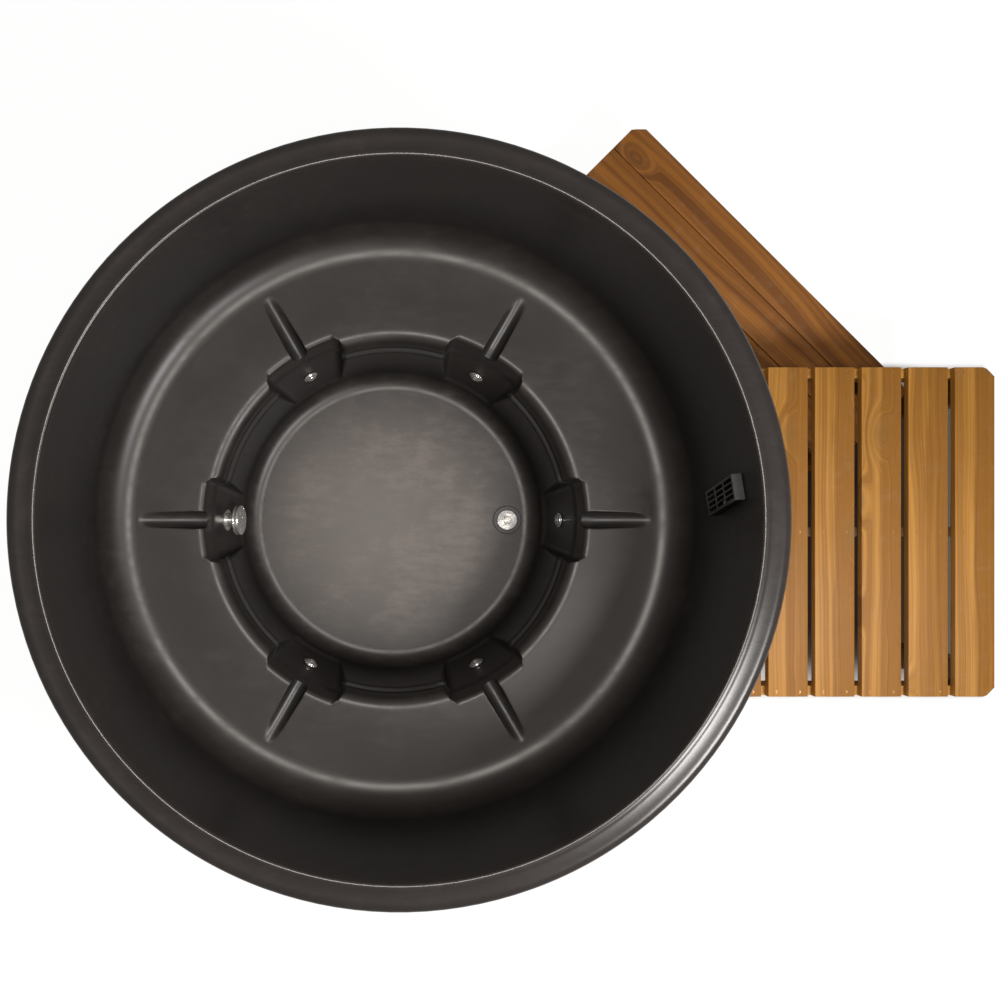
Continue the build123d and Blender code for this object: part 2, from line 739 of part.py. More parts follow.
def make_overflow(box_place, water):
    deep = box_depth - grille_t - slide_gap
    low, high = -box_h / 2, box_h / 2 - grille_t - slide_gap
    tray = slab(-box_w / 2, box_w / 2, low, high, -2 * box_wall, deep)
    half = box_w / 2 - box_wall
    hollow = slab(-half, half, low + box_wall, high + 1, box_wall, deep + 1)
    bar = overflow_path_rod(box_place, overflow_pipe_r)
    save("overflow_tray", (box_place * (tray - hollow) & water) - bar)
    save("overflow_pipe", bar - overflow_path_rod(box_place, overflow_pipe_r - overflow_pipe_wall))
    front = slab(-box_w / 2, box_w / 2, -box_h / 2, box_h / 2, box_depth - grille_t, box_depth)
    front = chamfer(front.edges().group_by(Axis.Z)[-1], grille_t / 3)
    back = box_depth - grille_t
    lid = slab(-box_w / 2, box_w / 2, box_h / 2 - grille_t, box_h / 2, grille_back_gap, back)
    cell_w = (box_w - 2 * runner_depth - (grille_cols - 1) * grille_bar) / grille_cols
    cell_h = (box_h - 2 * runner_depth - (grille_rows - 1) * grille_bar) / grille_rows
    for col in range(grille_cols):
        for row in range(grille_rows):
            x = -box_w / 2 + runner_depth + cell_w / 2 + col * (cell_w + grille_bar)
            y = -box_h / 2 + runner_depth + cell_h / 2 + row * (cell_h + grille_bar)
            front = front - Pos(x, y, box_depth) * Box(cell_w, cell_h, 3 * grille_t)
    grille = front + lid
    outer = half - slide_gap
    for side in (-1, 1):
        near, away = sorted((side * outer, side * (outer - runner_t)))
        runner = slab(near, away, low + 2 * box_wall, box_h / 2 - grille_t, back - runner_depth, back)
        grille = grille + runner
    save("overflow_grille", box_place * grille)


# Platform and low step


def screw_at(x, y, top_z):
    """A countersunk screw with its head just under the surface."""
    head = Pos(x, y, top_z - screw_head_h / 2) * Cone(screw_r, screw_head_r, screw_head_h)
    return head + Pos(x, y, 0) * rod(screw_r, top_z - screw_len, top_z - screw_head_h)


def screw_sinks(x, y, top_z):
    """What a screw takes out of the timber: itself and the open countersink above it."""
    return screw_at(x, y, top_z) + Pos(x, y, 0) * rod(screw_head_r, top_z, top_z + 4 * screw_sink)


def deck_outline(x0, x1, y0, y1, cut_low, cut_high, z0, z1):
    """The platform's outline as a prism, with its two outer corners cut off."""
    shape = slab(x0, x1, y0, y1, z0, z1)
    edges = shape.edges().filter_by(Axis.Z).group_by(Axis.X)[-1].sort_by(Axis.Y)
    if cut_low:
        shape = chamfer(edges[0], cut_low)
    if cut_high:
        edges = shape.edges().filter_by(Axis.Z).sort_by(Axis.Y)
        shape = chamfer([e for e in edges if e.center().X > x1 - 0.01][-1], cut_high)
    return shape


def make_platform():
    pitch = deck_w + deck_gap
    end_x = deck_x + deck_count * pitch - deck_gap
    under = deck_top_z - deck_t
    sides = (deck_x, end_x, deck_y_low, deck_y_high)
    outline = deck_outline(*sides, deck_chamfer, deck_chamfer, 0, deck_top_z)
    middle = (deck_y_low + deck_y_high) / 2
    bearer_ys = (deck_y_low, middle - bearer_t / 2, deck_y_high - bearer_t)
    edge_t = deck_t - deck_crown
    section = Polyline((0, 0), (deck_w, 0), (deck_w, edge_t), (deck_w / 2, deck_t), (0, edge_t), (0, 0))
    board = extrude(Plane.XZ * make_face(section), -(deck_y_high - deck_y_low))
    screw_z = deck_top_z - deck_crown - screw_sink
    screws, sinks = [], []
    for k in range(deck_count):
        for y in bearer_ys:
            for x in (screw_inset, deck_w - screw_inset):
                screws.append(screw_at(deck_x + k * pitch + x, y + bearer_t / 2, screw_z))
                sinks.append(screw_sinks(deck_x + k * pitch + x, y + bearer_t / 2, screw_z))
    boards = []
    per_board = len(screws) // deck_count
    for k in range(deck_count):
        plank = (Pos(deck_x + k * pitch, deck_y_low, under) * board) & outline
        boards.append(plank - sinks[k * per_board : (k + 1) * per_board])
    save("platform_boards", *boards)
    save("platform_screws", *screws)
    for k, y in enumerate(bearer_ys):
        beam = slab(deck_x, end_x, y, y + bearer_t, under - bearer_h, under) & outline
        save(f"platform_bearer_{k + 1}", beam - sinks)
    leg_xs = (deck_x + leg_inset, end_x - leg_inset - leg_w)
    leg_ys = (deck_y_low + bearer_t, deck_y_high - bearer_t - leg_w)
    count = 0
    for x in leg_xs:
        for y in leg_ys:
            count += 1
            save(f"platform_leg_{count}", slab(x, x + leg_w, y, y + leg_w, 0, under))
    low, high = middle - spacer_w / 2, middle + spacer_w / 2
    block = slab(barrel_r - stave_t, deck_x, low, high, under - spacer_h, under)
    save("platform_spacer", block - rod(barrel_r, 0, rim_z))


def make_step():
    under = step_top_z - deck_t
    boards_in = step_outer_u - step_count * step_w - (step_count - 1) * step_gap
    upright_vs = (step_v_low, (step_v_low + step_v_high - bearer_t) / 2, step_v_high - bearer_t)
    place = Rot(0, 0, step_turn)
    screw_z = step_top_z - screw_sink
    screws, sinks = [], []
    boards = []
    for k in range(step_count):
        high = step_outer_u - k * (step_w + step_gap)
        for v in upright_vs:
            for u in (high - step_w + screw_inset, high - screw_inset):
                screws.append(screw_at(u, -v - bearer_t / 2, screw_z))
                sinks.append(screw_sinks(u, -v - bearer_t / 2, screw_z))
        cut = step_chamfer if k == 0 else 0
        sides = (high - step_w, high, -step_v_high, -step_v_low)
        boards.append(deck_outline(*sides, 0, cut, under, step_top_z))
    save("step_boards", *[place * (board - sinks) for board in boards])
    save("step_screws", *[place * screw for screw in screws])
    sides = (boards_in, step_outer_u, -step_v_high, -step_v_low)
    outline = deck_outline(*sides, 0, step_chamfer, 0, under)
    for k, v in enumerate(upright_vs):
        panel = slab(boards_in, step_outer_u, -v - bearer_t, -v, 0, under) & outline
        save(f"step_upright_{k + 1}", place * (panel - sinks))
    top = deck_top_z - deck_t - bearer_h
    prop = slab(-prop_w / 2, prop_w / 2, deck_y_high - prop_w, deck_y_high, step_top_z, top)
    save("platform_props", *[Pos(x, 0, 0) * prop for x in prop_xs])


os.makedirs("parts", exist_ok=True)
water = water_volume()
box_place = box_frame()
save("liner", make_liner(water, box_place))
make_staves()
bolts = []
for name, low in (("hoop_lower", hoop_low_z), ("hoop_upper", hoop_high_z)):
    band, bolt, nut = make_hoop(low)
    save(name, band)
    bolts += [bolt, nut]
save("hoop_bolts", *bolts)
make_base()
make_jets()
make_suction()
make_ring()
make_pump()
make_suction_pipe()
make_drain()
make_valve()
make_overflow(box_place, water)
make_platform()
make_step()
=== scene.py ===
import json
import math
import random
import bpy
import bmesh
from mathutils import Matrix, Vector


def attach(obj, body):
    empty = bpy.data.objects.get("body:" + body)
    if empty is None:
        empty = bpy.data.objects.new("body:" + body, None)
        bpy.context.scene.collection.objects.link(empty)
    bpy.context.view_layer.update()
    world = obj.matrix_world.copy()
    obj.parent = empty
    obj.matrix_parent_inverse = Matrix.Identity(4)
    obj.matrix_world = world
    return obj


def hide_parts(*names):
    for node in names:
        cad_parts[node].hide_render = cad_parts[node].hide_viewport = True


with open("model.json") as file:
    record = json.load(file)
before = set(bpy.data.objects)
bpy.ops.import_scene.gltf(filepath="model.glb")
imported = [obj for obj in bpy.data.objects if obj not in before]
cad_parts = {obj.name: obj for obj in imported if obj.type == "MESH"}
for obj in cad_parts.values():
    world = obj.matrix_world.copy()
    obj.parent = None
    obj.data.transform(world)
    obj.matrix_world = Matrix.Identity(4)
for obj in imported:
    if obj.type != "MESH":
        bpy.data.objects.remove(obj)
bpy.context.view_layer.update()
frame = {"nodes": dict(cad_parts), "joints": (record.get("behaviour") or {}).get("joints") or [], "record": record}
record = frame["record"]
slotOf = {part["node"]: part["material_slot"] for part in record["subparts"]}
bodyOf = {node: body for body, members in record["behaviour"]["bodies"].items() for node in members}
print("frame loaded:", len(frame["nodes"]), "nodes")


# Node helpers

def addNode(tree, kind, inputs=None, **settings):
    node = tree.nodes.new(kind)
    for key, value in settings.items():
        setattr(node, key, value)
    for key, value in (inputs or {}).items():
        if isinstance(value, bpy.types.NodeSocket):
            tree.links.new(value, node.inputs[key])
        else:
            node.inputs[key].default_value = value
    return node


def mathNode(tree, operation, *values, clamp=False):
    inputs = dict(enumerate(values))
    return addNode(tree, "ShaderNodeMath", inputs, operation=operation, use_clamp=clamp).outputs[0]


def times(tree, first, second):
    return mathNode(tree, "MULTIPLY", first, second)


def timesPlus(tree, first, second, third):
    return mathNode(tree, "MULTIPLY_ADD", first, second, third)


def lengthOf(tree, vector):
    return addNode(tree, "ShaderNodeVectorMath", {0: vector}, operation="LENGTH").outputs["Value"]


def mixColour(tree, factor, first, second, blend="MIX"):
    inputs = {0: factor, 6: first, 7: second}
    return addNode(tree, "ShaderNodeMix", inputs, data_type="RGBA", blend_type=blend).outputs[2]


def attribute(tree, name):
    return addNode(tree, "ShaderNodeAttribute", attribute_name=name).outputs["Fac"]


def mapRange(tree, value, low, high, newLow=0.0, newHigh=1.0, smooth=True):
    kind = "SMOOTHSTEP" if smooth else "LINEAR"
    inputs = {"Value": value, "From Min": low, "From Max": high, "To Min": newLow, "To Max": newHigh}
    return addNode(tree, "ShaderNodeMapRange", inputs, interpolation_type=kind).outputs["Result"]


def scaled(tree, vector, x, y, z):
    return addNode(tree, "ShaderNodeVectorMath", {0: vector, 1: (x, y, z)}, operation="MULTIPLY").outputs[0]


def noise(tree, place, scale, detail=2.0, rough=0.5, dimensions="3D"):
    inputs = {"Scale": scale, "Detail": detail, "Roughness": rough}
    inputs["W" if dimensions == "1D" else "Vector"] = place
    return addNode(tree, "ShaderNodeTexNoise", inputs, noise_dimensions=dimensions).outputs["Fac"]


def newGroup(name, inputs, outputs, kind="ShaderNodeTree"):
    tree = bpy.data.node_groups.new(name, kind)
    for label, socket, *value in inputs:
        made = tree.interface.new_socket(name=label, in_out="INPUT", socket_type="NodeSocket" + socket)
        if value:
            made.default_value = value[0]
    for label, socket in outputs:
        tree.interface.new_socket(name=label, in_out="OUTPUT", socket_type="NodeSocket" + socket)
    return tree, tree.nodes.new("NodeGroupInput"), tree.nodes.new("NodeGroupOutput")


def useGroup(tree, group, **values):
    return addNode(tree, "ShaderNodeGroup", values, node_tree=group)


# Shader groups

def makeTimberGroup():
    tree, given, made = newGroup("timberGrain", [
        ("Vector", "Vector"), ("Tone", "Float", 0.5), ("Shade", "Float", 0.0),
        ("Pale", "Color", (0.6, 0.3, 0.1, 1)), ("Deep", "Color", (0.3, 0.14, 0.04, 1)),
        ("KnotColour", "Color", (0.1, 0.05, 0.02, 1)), ("BandScale", "Float", 34.0),
        ("Knots", "Float", 0.62)], [("Colour", "Color"), ("Roughness", "Float"), ("Height", "Float")])
    use = given.outputs
    apart = {0: (17.3, 9.1, 5.7), "Scale": use["Tone"]}
    spread = addNode(tree, "ShaderNodeVectorMath", apart, operation="SCALE").outputs[0]
    place = addNode(tree, "ShaderNodeVectorMath", {0: use["Vector"], 1: spread}).outputs[0]
    bend = noise(tree, scaled(tree, place, 5.0, 1.1, 5.0), 1.0)
    roomy = scaled(tree, place, 7.0, 3.6, 7.0)
    cells = addNode(tree, "ShaderNodeTexVoronoi", {"Vector": roomy, "Scale": 1.0})
    picked = addNode(tree, "ShaderNodeSeparateColor", {"Color": cells.outputs["Color"]}).outputs[0]
    isKnot = mapRange(tree, picked, use["Knots"], mathNode(tree, "ADD", use["Knots"], 0.04))
    away = cells.outputs["Distance"]
    near = mapRange(tree, away, 0.0, 0.42, 1.0, 0.0)
    core = times(tree, mapRange(tree, away, 0.03, 0.10, 1.0, 0.0), isKnot)
    swirl = times(tree, near, isKnot)
    halo = times(tree, swirl, swirl)
    split = addNode(tree, "ShaderNodeSeparateXYZ", {0: place})
    across = times(tree, split.outputs[0], use["BandScale"])
    across = timesPlus(tree, bend, 2.6, across)
    across = timesPlus(tree, swirl, 2.2, across)
    across = timesPlus(tree, split.outputs[2], 21.0, across)
    bands = noise(tree, across, 1.0, 3.0, 0.62, "1D")
    lines = noise(tree, times(tree, across, 4.3), 1.0, 2.0, 0.5, "1D")
    fibre = noise(tree, scaled(tree, place, 520.0, 9.0, 520.0), 1.0, 2.0)
    patch = noise(tree, scaled(tree, place, 9.0, 2.2, 9.0), 1.0, 1.0)
    level = mapRange(tree, bands, 0.28, 0.72)
    level = timesPlus(tree, mathNode(tree, "SUBTRACT", patch, 0.5), 0.7, level)
    # Shade darkens the wood as painted shade, on the half of each platform board away from the tub
    level = mathNode(tree, "SUBTRACT", level, times(tree, use["Shade"], 0.85), clamp=True)
    colour = mixColour(tree, level, use["Deep"], use["Pale"])
    thin = mapRange(tree, lines, 0.30, 0.42, 0.84, 1.0)
    grain = times(tree, thin, mapRange(tree, fibre, 0.2, 0.8, 0.88, 1.08, smooth=False))
    shade = addNode(tree, "ShaderNodeCombineColor", {0: grain, 1: grain, 2: grain}).outputs[0]
    colour = mixColour(tree, 1.0, colour, shade, "MULTIPLY")
    colour = mixColour(tree, times(tree, halo, 0.40), colour, use["KnotColour"])
    colour = mixColour(tree, times(tree, core, 0.60), colour, use["KnotColour"])
    height = timesPlus(tree, fibre, 0.55, times(tree, grain, 0.45))
    tree.links.new(colour, made.inputs["Colour"])
    tree.links.new(mapRange(tree, bands, 0.2, 0.8, 0.64, 0.50, smooth=False), made.inputs["Roughness"])
    tree.links.new(height, made.inputs["Height"])
    return tree


def makeScuffGroup():
    tree, given, made = newGroup("scuffAndDust", [
        ("Vector", "Vector"), ("GrainScale", "Float", 900.0), ("ScuffScale", "Float", 7.0),
        ("DustScale", "Float", 30.0)], [("Scuff", "Float"), ("Dust", "Float"), ("Height", "Float")])
    use = given.outputs
    vector = use["Vector"]
    broad = noise(tree, vector, use["ScuffScale"], 4.0, 0.6)
    finer = times(tree, use["ScuffScale"], 2.3)
    smear = noise(tree, scaled(tree, vector, 1.0, 3.1, 1.0), finer, 5.0, 0.65)
    specks = noise(tree, vector, use["DustScale"], 6.0, 0.7)
    grain = noise(tree, vector, use["GrainScale"], 2.0)
    scuff = mapRange(tree, times(tree, broad, smear), 0.16, 0.42)
    dust = times(tree, mapRange(tree, specks, 0.46, 0.74), mapRange(tree, broad, 0.38, 0.66))
    tree.links.new(scuff, made.inputs["Scuff"])
    tree.links.new(dust, made.inputs["Dust"])
    tree.links.new(grain, made.inputs["Height"])
    return tree


def makeEdgeGroup():
    tree, given, made = newGroup("edgeWear", [
        ("Vector", "Vector"), ("Start", "Float", 0.53), ("Width", "Float", 0.06)], [("Mask", "Float")])
    bend = addNode(tree, "ShaderNodeNewGeometry").outputs["Pointiness"]
    broken = noise(tree, given.outputs["Vector"], 60.0, 3.0)
    raised = timesPlus(tree, mathNode(tree, "SUBTRACT", broken, 0.5), 0.06, bend)
    top = mathNode(tree, "ADD", given.outputs["Start"], given.outputs["Width"])
    tree.links.new(mapRange(tree, raised, given.outputs["Start"], top), made.inputs["Mask"])
    return tree


timberGrain = makeTimberGroup()
scuffAndDust = makeScuffGroup()
edgeWear = makeEdgeGroup()
print("shader groups built")


# Materials

def newMaterial(name):
    material = bpy.data.materials.new(name)
    material.use_nodes = True
    tree = material.node_tree
    tree.nodes.clear()
    shader = addNode(tree, "ShaderNodeBsdfPrincipled")
    output = addNode(tree, "ShaderNodeOutputMaterial")
    tree.links.new(shader.outputs[0], output.inputs[0])
    return material, tree, shader


def objectVector(tree, turn=(0.0, 0.0, 0.0)):
    source = addNode(tree, "ShaderNodeTexCoord").outputs["Object"]
    return addNode(tree, "ShaderNodeMapping", {"Vector": source, "Rotation": turn}).outputs[0]


def addBump(tree, shader, height, strength, distance, edgeRadius=0.0):
    bump = addNode(tree, "ShaderNodeBump", {"Height": height, "Strength": strength, "Distance": distance})
    if edgeRadius:
        eased = addNode(tree, "ShaderNodeBevel", {"Radius": edgeRadius}, samples=6)
        tree.links.new(eased.outputs[0], bump.inputs["Normal"])
    tree.links.new(bump.outputs[0], shader.inputs["Normal"])


def woodMaterial(name, pale, deep, knot, turn, bandScale=34.0, knots=0.62, halfTone=0.0, rough=0.0):
    material, tree, shader = newMaterial(name)
    vector = objectVector(tree, turn)
    tone = attribute(tree, "boardTone")
    shade = 0.0
    # Painted shade: the half of each board away from the tub is darkened, with a wavering line between the halves
    if halfTone:
        uv = addNode(tree, "ShaderNodeUVMap", uv_map="boardMap").outputs[0]
        across = addNode(tree, "ShaderNodeSeparateXYZ", {0: uv}).outputs[0]
        wander = noise(tree, scaled(tree, vector, 1.0, 1.6, 1.0), 3.0, 2.0)
        across = timesPlus(tree, mathNode(tree, "SUBTRACT", wander, 0.5), 0.16, across)
        shade = times(tree, mapRange(tree, across, 0.40, 0.54), halfTone)
    grain = useGroup(tree, timberGrain, Vector=vector, Tone=tone, Shade=shade, Pale=pale, Deep=deep,
                     KnotColour=knot, BandScale=bandScale, Knots=knots)
    wear = useGroup(tree, scuffAndDust, Vector=vector, GrainScale=700.0, ScuffScale=5.0, DustScale=24.0)
    edge = useGroup(tree, edgeWear, Vector=vector, Start=0.54, Width=0.08)
    worn = mixColour(tree, times(tree, edge.outputs["Mask"], 0.35), grain.outputs["Colour"],
                     (pale[0] * 1.15, pale[1] * 1.2, pale[2] * 1.3, 1))
    dustyAndShaded = mixColour(tree, times(tree, wear.outputs["Dust"], 0.10), worn, (0.42, 0.34, 0.24, 1))
    # Painted shade: parts under the platform are darkened towards near-black by their own attribute
    dustyAndShaded = mixColour(tree, attribute(tree, "darkStain"), dustyAndShaded, (0.020, 0.013, 0.008, 1))
    tree.links.new(dustyAndShaded, shader.inputs["Base Color"])
    tree.links.new(mathNode(tree, "ADD", grain.outputs["Roughness"], rough), shader.inputs["Roughness"])
    shader.inputs["Specular IOR Level"].default_value = 0.35
    addBump(tree, shader, grain.outputs["Height"], 0.35, 0.0006)
    return material


def plasticMaterial(name, colour, scuffColour, rough, scuffAmount=0.35, grainStrength=0.12, grainScale=900.0,
                    edgeRadius=0.0008, gloss=0.5):
    material, tree, shader = newMaterial(name)
    vector = objectVector(tree)
    wear = useGroup(tree, scuffAndDust, Vector=vector, GrainScale=grainScale, ScuffScale=9.0, DustScale=45.0)
    edge = useGroup(tree, edgeWear, Vector=vector, Start=0.54, Width=0.07)
    marked = mixColour(tree, times(tree, wear.outputs["Scuff"], scuffAmount), colour, scuffColour)
    marked = mixColour(tree, times(tree, edge.outputs["Mask"], 0.25), marked, scuffColour)
    tree.links.new(marked, shader.inputs["Base Color"])
    roughness = mapRange(tree, wear.outputs["Scuff"], 0.0, 1.0, rough, rough + 0.16, smooth=False)
    tree.links.new(roughness, shader.inputs["Roughness"])
    shader.inputs["Specular IOR Level"].default_value = gloss
    addBump(tree, shader, wear.outputs["Height"], grainStrength, 0.0004, edgeRadius)
    return material


def metalMaterial(name, colour, rough, brush=0.0, tarnish=(0.3, 0.28, 0.25, 1), tarnishAmount=0.15,
                  metallic=1.0):
    material, tree, shader = newMaterial(name)
    vector = objectVector(tree)
    wear = useGroup(tree, scuffAndDust, Vector=vector, GrainScale=1400.0, ScuffScale=22.0, DustScale=90.0)
    spotted = mixColour(tree, times(tree, wear.outputs["Dust"], tarnishAmount), colour, tarnish)
    tree.links.new(spotted, shader.inputs["Base Color"])
    shader.inputs["Metallic"].default_value = metallic
    streaks = noise(tree, scaled(tree, vector, 1.0, 1.0, 60.0), 40.0, 2.0)
    roughness = mapRange(tree, wear.outputs["Scuff"], 0.0, 1.0, rough, rough + 0.14, smooth=False)
    roughness = timesPlus(tree, streaks, brush, roughness)
    tree.links.new(roughness, shader.inputs["Roughness"])
    height = timesPlus(tree, streaks, brush * 3.0, wear.outputs["Height"])
    addBump(tree, shader, height, 0.05, 0.0003, 0.0006)
    return material


linerLook = {
    # The wall colour is the seat's plastic made darker as painted shade, used on the walls, pocket and riser faces
    # and inside the grooves
    "wallColour": (0.0165, 0.0148, 0.0142, 1),
    "seatColour": (0.0235, 0.0195, 0.0178, 1),
    "floorColour": (0.066, 0.053, 0.047, 1),
    "smudgeColour": (0.180, 0.150, 0.134, 1),
    "rough": 0.35,
    "ledgeRough": 0.40,
    "rimRough": -0.08,
}


def makeLinerMaterial():
    look = linerLook
    material, tree, shader = newMaterial("linerPlastic")
    vector = objectVector(tree)
    height = addNode(tree, "ShaderNodeSeparateXYZ", {0: vector}).outputs[2]
    wear = useGroup(tree, scuffAndDust, Vector=vector, GrainScale=420.0, ScuffScale=6.0, DustScale=26.0)
    radius = lengthOf(tree, scaled(tree, vector, 1.0, 1.0, 0.0))
    # The footwell floor takes a lighter colour; towards its edge at the cove it fades back to the darker colour as
    # painted shade
    low = mapRange(tree, height, 0.050, 0.085, 1.0, 0.0)
    low = times(tree, low, mapRange(tree, radius, 0.24, 0.455, 1.0, 0.15))
    # Painted shade: everything below the nose's top and up the walls takes the darker wall colour; only the seat
    # top, the lower cove and the rim keep the seat colour
    seatBand = mapRange(tree, height, 0.448, 0.56, 1.0, 0.0)
    aboveNose = mapRange(tree, height, 0.432, 0.449, 0.0, 1.0)
    ledge = mapRange(tree, height, 0.384, 0.392, 1.0, 0.0)
    ledge = times(tree, mapRange(tree, height, 0.355, 0.368), ledge)
    rimBand = mapRange(tree, height, 0.972, 0.996)
    seatMask = mathNode(tree, "MAXIMUM", times(tree, seatBand, aboveNose), rimBand)
    colour = mixColour(tree, seatMask, look["wallColour"], look["seatColour"])
    colour = mixColour(tree, low, colour, look["floorColour"])
    smudge = times(tree, wear.outputs["Scuff"], timesPlus(tree, low, 0.66, 0.03))
    colour = mixColour(tree, smudge, colour, look["smudgeColour"])
    dust = times(tree, wear.outputs["Dust"], timesPlus(tree, low, 0.30, 0.06))
    colour = mixColour(tree, dust, colour, look["smudgeColour"])
    tree.links.new(colour, shader.inputs["Base Color"])
    calm = mapRange(tree, rimBand, 0.0, 1.0, 1.0, 0.25, smooth=False)
    scuffed = times(tree, wear.outputs["Scuff"], calm)
    roughness = timesPlus(tree, scuffed, 0.07, look["rough"])
    roughness = timesPlus(tree, low, 0.05, roughness)
    roughness = timesPlus(tree, ledge, look["ledgeRough"], roughness)
    roughness = timesPlus(tree, rimBand, look["rimRough"], roughness)
    tree.links.new(roughness, shader.inputs["Roughness"])
    shader.inputs["Specular IOR Level"].default_value = 0.42
    addBump(tree, shader, times(tree, wear.outputs["Height"], calm), 0.10, 0.0005)
    return material


alongY = (0.0, 0.0, 0.0)
alongStep = (0.0, 0.0, math.radians(-45.0))
alongZ = (math.radians(-90.0), 0.0, 0.0)
alongX = (0.0, 0.0, math.radians(-90.0))
materials = {
    "liner_plastic": makeLinerMaterial(),
    "platform_wood": woodMaterial("platformWood", (0.44, 0.205, 0.034, 1), (0.255, 0.104, 0.012, 1),
                                  (0.20, 0.115, 0.030, 1), alongY, halfTone=0.8, knots=0.22),
    "step_wood": woodMaterial("stepWood", (0.32, 0.122, 0.018, 1), (0.140, 0.046, 0.006, 1),
                              (0.10, 0.042, 0.014, 1), alongStep, bandScale=26.0, knots=0.35),
    "cladding_wood": woodMaterial("barrelWood", (0.52, 0.27, 0.105, 1), (0.30, 0.135, 0.042, 1),
                                  (0.13, 0.06, 0.022, 1), alongZ, bandScale=26.0, knots=0.72),
    "frame_timber": woodMaterial("frameTimber", (0.55, 0.36, 0.18, 1), (0.38, 0.22, 0.09, 1),
                                 (0.20, 0.11, 0.05, 1), alongX, bandScale=24.0, rough=0.1),
    "chrome": metalMaterial("chromePlate", (0.88, 0.86, 0.83, 1), 0.13, metallic=0.86),
    "hoop_steel": metalMaterial("hoopSteel", (0.56, 0.56, 0.56, 1), 0.30, 0.16),
    "screw_steel": metalMaterial("screwCoat", (0.36, 0.19, 0.08, 1), 0.42, 0.05),
    "valve_brass": metalMaterial("valveBrass", (0.70, 0.50, 0.22, 1), 0.24, 0.06,
                                 (0.22, 0.16, 0.07, 1), 0.4),
    "seal_rubber": plasticMaterial("sealRubber", (0.018, 0.018, 0.018, 1), (0.06, 0.06, 0.06, 1), 0.62),
    "grille_plastic": plasticMaterial("grillePlastic", (0.024, 0.024, 0.024, 1), (0.2, 0.2, 0.2, 1), 0.17,
                                      0.05, edgeRadius=0.0018),
    # The overflow tray's own black plastic, taken near-black and barely glossy as painted shade so the grille's
    # slots read dark
    "darkPlastic": plasticMaterial("darkPlastic", (0.003, 0.003, 0.003, 1), (0.02, 0.02, 0.02, 1), 0.62,
                                   gloss=0.08),
    "pipe_plastic": plasticMaterial("pipePlastic", (0.42, 0.43, 0.44, 1), (0.6, 0.6, 0.6, 1), 0.38),
    "fitting_plastic": plasticMaterial("fittingPlastic", (0.016, 0.016, 0.017, 1), (0.07, 0.07, 0.07, 1),
                                       0.34),
    "lever_red": plasticMaterial("leverCoat", (0.42, 0.022, 0.016, 1), (0.55, 0.12, 0.10, 1), 0.30),
    "motor_paint": plasticMaterial("motorPaint", (0.055, 0.075, 0.10, 1), (0.18, 0.2, 0.22, 1), 0.40,
                                   0.2, 0.3, 500.0),
}
print("materials built:", len(materials))


# Mesh helpers

replacedNodes = set()


def finishPiece(piece, body, slot, nodes, look=None):
    piece.data.materials.clear()
    piece.data.materials.append(materials[look or slot])
    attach(piece, body)
    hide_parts(*nodes)
    replacedNodes.update(nodes)


def linkObject(name, mesh):
    piece = bpy.data.objects.new(name, mesh)
    bpy.context.scene.collection.objects.link(piece)
    return piece


def meshFrom(name, points, faces):
    mesh = bpy.data.meshes.new(name)
    mesh.from_pydata([tuple(point) for point in points], [], faces)
    mesh.validate()
    mesh.update()
    return mesh


def faceOutward(mesh):
    build = bmesh.new()
    build.from_mesh(mesh)
    bmesh.ops.recalc_face_normals(build, faces=build.faces)
    build.to_mesh(mesh)
    build.free()


def smoothByAngle(mesh, angle):
    build = bmesh.new()
    build.from_mesh(mesh)
    for face in build.faces:
        face.smooth = True
    for edge in build.edges:
        edge.smooth = edge.calc_face_angle(0.0) < angle
    build.to_mesh(mesh)
    build.free()


def evaluatedMesh(piece, name):
    graph = bpy.context.evaluated_depsgraph_get()
    shown = piece.evaluated_get(graph)
    mesh = bpy.data.meshes.new_from_object(shown, preserve_all_data_layers=True, depsgraph=graph)
    mesh.name = name
    return mesh


def ringFaces(rows, count):
    faces = []
    for row in range(rows - 1):
        a, b = row * count, (row + 1) * count
        for index in range(count):
            other = (index + 1) % count
            faces.append((a + index, a + other, b + other, b + index))
    faces.append(tuple(reversed(range(count))))
    faces.append(tuple(range((rows - 1) * count, rows * count)))
    return faces


def boardShaped(name, points, faces, uvs):
    mesh = meshFrom(name, points, faces)
    layer = mesh.uv_layers.new(name="boardMap")
    for loop in mesh.loops:
        layer.data[loop.index].uv = uvs[loop.vertex_index]
    faceOutward(mesh)
    return mesh


def arc(centreR, centreZ, radius, start, end, steps):
    points = []
    for step in range(1, steps + 1):
        angle = math.radians(start + (end - start) * step / steps)
        points.append((centreR + radius * math.cos(angle), centreZ + radius * math.sin(angle)))
    return points


# Liner: one moulding, drawn as rings of points from the lip of the rim to the middle of the floor

